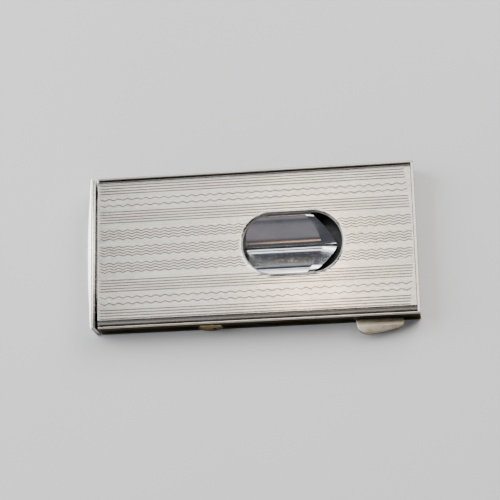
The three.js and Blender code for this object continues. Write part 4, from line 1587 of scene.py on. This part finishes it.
class CoilTree:
    """The geometry nodes that wind a round wire into a coil spring along X."""

    def __init__(self) -> None:
        """Builds the node group once."""
        self.tree = bpy.data.node_groups.new("coil_spring", "GeometryNodeTree")
        face = self.tree.interface
        for name, value in (("Radius", 0.95), ("Wire", 0.2), ("Turns", 13.0), ("Length", 30.0)):
            socket = face.new_socket(name, in_out="INPUT", socket_type="NodeSocketFloat")
            socket.default_value = value
        face.new_socket("Material", in_out="INPUT", socket_type="NodeSocketMaterial")
        face.new_socket("Geometry", in_out="OUTPUT", socket_type="NodeSocketGeometry")
        nodes, links = self.tree.nodes, self.tree.links
        source = nodes.new("NodeGroupInput")
        spiral = nodes.new("GeometryNodeCurveSpiral")
        spiral.inputs["Resolution"].default_value = 22
        for given, taken in (("Turns", "Rotations"), ("Radius", "Start Radius"),
                             ("Radius", "End Radius"), ("Length", "Height")):
            links.new(source.outputs[given], spiral.inputs[taken])
        wire = nodes.new("GeometryNodeCurvePrimitiveCircle")
        wire.inputs["Resolution"].default_value = 10
        links.new(source.outputs["Wire"], wire.inputs["Radius"])
        tube = nodes.new("GeometryNodeCurveToMesh")
        tube.inputs["Fill Caps"].default_value = True
        links.new(spiral.outputs[0], tube.inputs["Curve"])
        links.new(wire.outputs[0], tube.inputs["Profile Curve"])
        real = nodes.new("GeometryNodeRealizeInstances")
        links.new(tube.outputs[0], real.inputs[0])
        dressed = nodes.new("GeometryNodeSetMaterial")
        links.new(real.outputs[0], dressed.inputs["Geometry"])
        links.new(source.outputs["Material"], dressed.inputs["Material"])
        links.new(dressed.outputs[0], nodes.new("NodeGroupOutput").inputs[0])

    def wind(self, name: str, material: bpy.types.Material, **values: float) -> bpy.types.Mesh:
        """Winds one spring that starts at the origin and runs along +X.

        Args:
            name: the mesh's name.
            material: its finish.
            **values: radius, wire, turns and length.

        Returns:
            The spring's mesh.
        """
        mesh = run_tree(object_of(bpy.data.meshes.new(name)), self.tree, material, values)
        mesh.transform(Matrix(((0, 0, 1, 0), (1, 0, 0, 0), (0, 1, 0, 0), (0, 0, 0, 1))))
        return cleaned(mesh)


@dataclass
class Springs:
    """The two push springs, pressed together while the cutter is shut."""

    finishes: Finishes
    turns: float = 13.0
    wire: float = 0.2

    def build(self) -> None:
        """Makes both springs and places them where the CAD springs lie."""
        tree = CoilTree()
        for side in ("near", "far"):
            node = f"push_spring_{side}"
            low, high = BENCH.box(node)
            radius = (high.z - low.z) / 2 - self.wire
            length = high.x - low.x - 2 * self.wire
            mesh = tree.wind(f"{node}_piece", self.finishes.spring_steel, radius=radius,
                             wire=self.wire, turns=self.turns, length=length)
            y, z = (low.y + high.y) / 2, (low.z + high.z) / 2
            mesh.transform(Matrix.Translation((low.x + self.wire, y, z)))
            spring = add_piece(mesh, Body.CASE, [node],
                               self.finishes.spring_steel, 60, ride=False)
            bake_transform(spring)


# ---- the catch ----


@dataclass
class Catch:
    """The side catch: leaf spring, thumb tab, hook and the hook's rivet."""

    finishes: Finishes
    tab_reach: float = 2.4

    def build(self) -> None:
        """Makes every piece of the catch."""
        for node, edge in (("catch_leaf", 0.05), ("catch_hook", 0.06)):
            add_softened(node, edge, Body.CATCH, self.finishes.frame_steel)
        self.tab()
        self.hook_rivet()

    def tab(self) -> None:
        """The thumb tab: full at its near corner, falling away to the far one."""
        low, high = BENCH.box("thumb_tab")
        wall = BENCH.box("back_tray")[0].y
        root = BENCH.box("catch_leaf")[0].y - FIT
        length = high.x - low.x

        def along(share: float) -> float:
            """A place along the tab."""
            return low.x + length * share

        def out(share: float) -> float:
            """A place out from the case."""
            return wall - self.tab_reach * share

        outline = [(low.x, root)]
        outline += bezier((low.x, out(0.15)), (along(0.02), out(1.0)), (along(0.26), out(1.0)), 14)
        outline += bezier((along(0.26), out(1.0)), (along(0.55), out(0.98)),
                          (along(0.93), out(0.6)), 14)
        outline += bezier((along(0.93), out(0.6)), (high.x, out(0.5)), (high.x, out(0.25)), 8)
        outline += [(high.x, out(0.25)), (high.x, root)]
        mesh = plate("thumb_tab_piece", outline[::-1], [], low.z, high.z, 0.24)
        tenon = block("tenon", (along(0.57), root - 0.5, low.z + 0.3),
                      (along(0.79), high.y, high.z - 0.3))
        mesh = cut(mesh, [], [tenon])
        mesh.name = "thumb_tab_piece"
        add_piece(mesh, Body.CATCH, ["thumb_tab"], self.finishes.tab_plate, 40)

    def hook_rivet(self) -> None:
        """The small rivet that holds the hook on the leaf."""
        low, high = BENCH.box("hook_rivet")
        head = (high.x - low.x) / 2
        shank = head / HEAD_TO_SHANK
        profile = [(0, low.y), (shank, low.y), (shank, high.y - 0.2), (head, high.y - 0.2),
                   (head, high.y - 0.12), (head * 0.6, high.y - 0.02), (0, high.y)]
        add_turned("hook_rivet", profile, Along.Y, Body.CATCH,
                   self.finishes.frame_steel, 28)


# ---- studio ----


MIDDLE = (27.0, 0.0, 3.0)
WARM_WHITE, COOL_WHITE = (1.0, 0.98, 0.95), (0.96, 0.98, 1.0)
LAMPS = (  # name, place, aim, size, brightness, colour
    ("overhead", (80, 185, 420), (80, 185, 0), (330, 270), 2.1, WARM_WHITE),
    ("back_right", (290, 300, 330), MIDDLE, (360, 300), 6.0, WARM_WHITE),
    ("right", (330, 90, 420), MIDDLE, (160, 220), 4.0, (1.0, 0.97, 0.86)),
    ("back", (-20, 400, 336), MIDDLE, (300, 55), 3.4, (0.94, 0.97, 1.0)),
    ("low_back", (20, 420, 50), MIDDLE, (500, 80), 0.45, (0.8, 0.9, 1.0)),
    ("low_front", (30, -420, 80), MIDDLE, (560, 130), 0.4, (0.95, 0.96, 1.0)),
    ("left", (-300, 60, 250), MIDDLE, (340, 420), 4.6, COOL_WHITE),
    ("left_high", (-170, 110, 400), (-170, 110, 0), (100, 240), 4.6, COOL_WHITE),
    ("front", (40, -235, 400), MIDDLE, (420, 130), 0.2, (0.98, 0.88, 0.92)),
    ("front_mid", (30, -380, 230), MIDDLE, (520, 190), 0.5, (0.97, 0.97, 1.0)),
    ("warm", (7, -118, 430), MIDDLE, (50, 22), 2.0, (1.0, 0.62, 0.36)),
    ("glow", (5, 104, 412), (5, 104, 0), (14, 50), 14.0, (1.0, 0.75, 0.5)),
)


@dataclass
class Studio:
    """The pale floor, the soft lights and the camera.

    Attributes:
        eye: the camera's place on the bench, in millimetres.
        azimuth: the side it looks from, in degrees.
        elevation: how steeply it looks down, in degrees.
        roll: its turn about its own line of sight, in degrees.
        lens: focal length for a sensor 36 mm wide.
    """

    eye: Point3 = (58.6, -79.9, 281.1)
    azimuth: float = 22.27
    elevation: float = 72.81
    roll: float = -24.47
    lens: float = 122.4

    def build(self) -> None:
        """Sets up the studio."""
        self.camera()
        self.floor()
        self.world()
        for lamp in LAMPS:
            self.light(*lamp)

    def camera(self) -> None:
        """Stands the camera where the cutter is seen from."""
        data = bpy.data.cameras.new("camera")
        data.sensor_width = 36.0
        data.lens = self.lens
        data.clip_start, data.clip_end = 0.01, 10.0
        camera = bpy.data.objects.new("camera", data)
        bpy.context.scene.collection.objects.link(camera)
        a, e = math.radians(self.azimuth), math.radians(self.elevation)
        back = Vector((math.sin(a) * math.cos(e), -math.cos(a) * math.cos(e), math.sin(e)))
        camera.rotation_mode = "QUATERNION"
        level = (-back).to_track_quat("-Z", "Y")
        camera.rotation_quaternion = level @ Matrix.Rotation(
            math.radians(self.roll), 3, "Z").to_quaternion()
        camera.location = BENCH.row(self.eye)
        bpy.context.scene.camera = camera

    def floor(self) -> None:
        """A plain pale surface under the cutter."""
        size = 1.5
        z = CAD_BOX[0].z - 0.00002
        mesh = mesh_of("floor", np.array([(-size, -size, z), (size, -size, z), (size, size, z),
                                          (-size, size, z)]), [(0, 1, 2, 3)])
        book = NodeBook("pale_floor", 0.0, 0.6)
        tone = book.remap(book.grain((0.01, 0.01, 0.01), 2.0), 0.3, 0.7, 0.0, 1.0)
        mesh.materials.append(book.done(book.mix(tone, (0.72, 0.72, 0.72), (0.76, 0.76, 0.77))))
        object_of(mesh)

    def world(self) -> None:
        """An even, dim surround."""
        world = bpy.data.worlds.new("surround")
        world.use_nodes = True
        back = world.node_tree.nodes["Background"]
        back.inputs["Color"].default_value = (0.8, 0.86, 0.95, 1.0)
        back.inputs["Strength"].default_value = 0.09
        bpy.context.scene.world = world

    @staticmethod
    def light(name: str, place: Point3, aim: Point3, size: Point2, brightness: float,
              colour: Point3) -> None:
        """Adds a soft rectangular light.

        Args:
            name: its name.
            place: where it hangs, on the bench.
            aim: the bench point it faces.
            size: its width and height in millimetres.
            brightness: how bright its face looks, whatever its size.
            colour: its colour.
        """
        data = bpy.data.lights.new(name, "AREA")
        data.shape = "RECTANGLE"
        data.size, data.size_y = size[0] * MM, size[1] * MM
        data.energy = brightness * math.pi * data.size * data.size_y
        data.color = colour
        lamp = bpy.data.objects.new(name, data)
        bpy.context.scene.collection.objects.link(lamp)
        lamp.location = BENCH.row(place)
        lamp.rotation_mode = "QUATERNION"
        lamp.rotation_quaternion = (BENCH.row(aim) - BENCH.row(place)).to_track_quat("-Z", "Y")


def main() -> None:
    """Builds the cutter and its studio."""
    logging.basicConfig(level=logging.INFO, format="%(name)s: %(message)s")
    Studio().build()
    finishes = Finishes()
    Case(finishes).build()
    Slide(finishes).build()
    Springs(finishes).build()
    Catch(finishes).build()


if __name__ == "__main__":
    main()
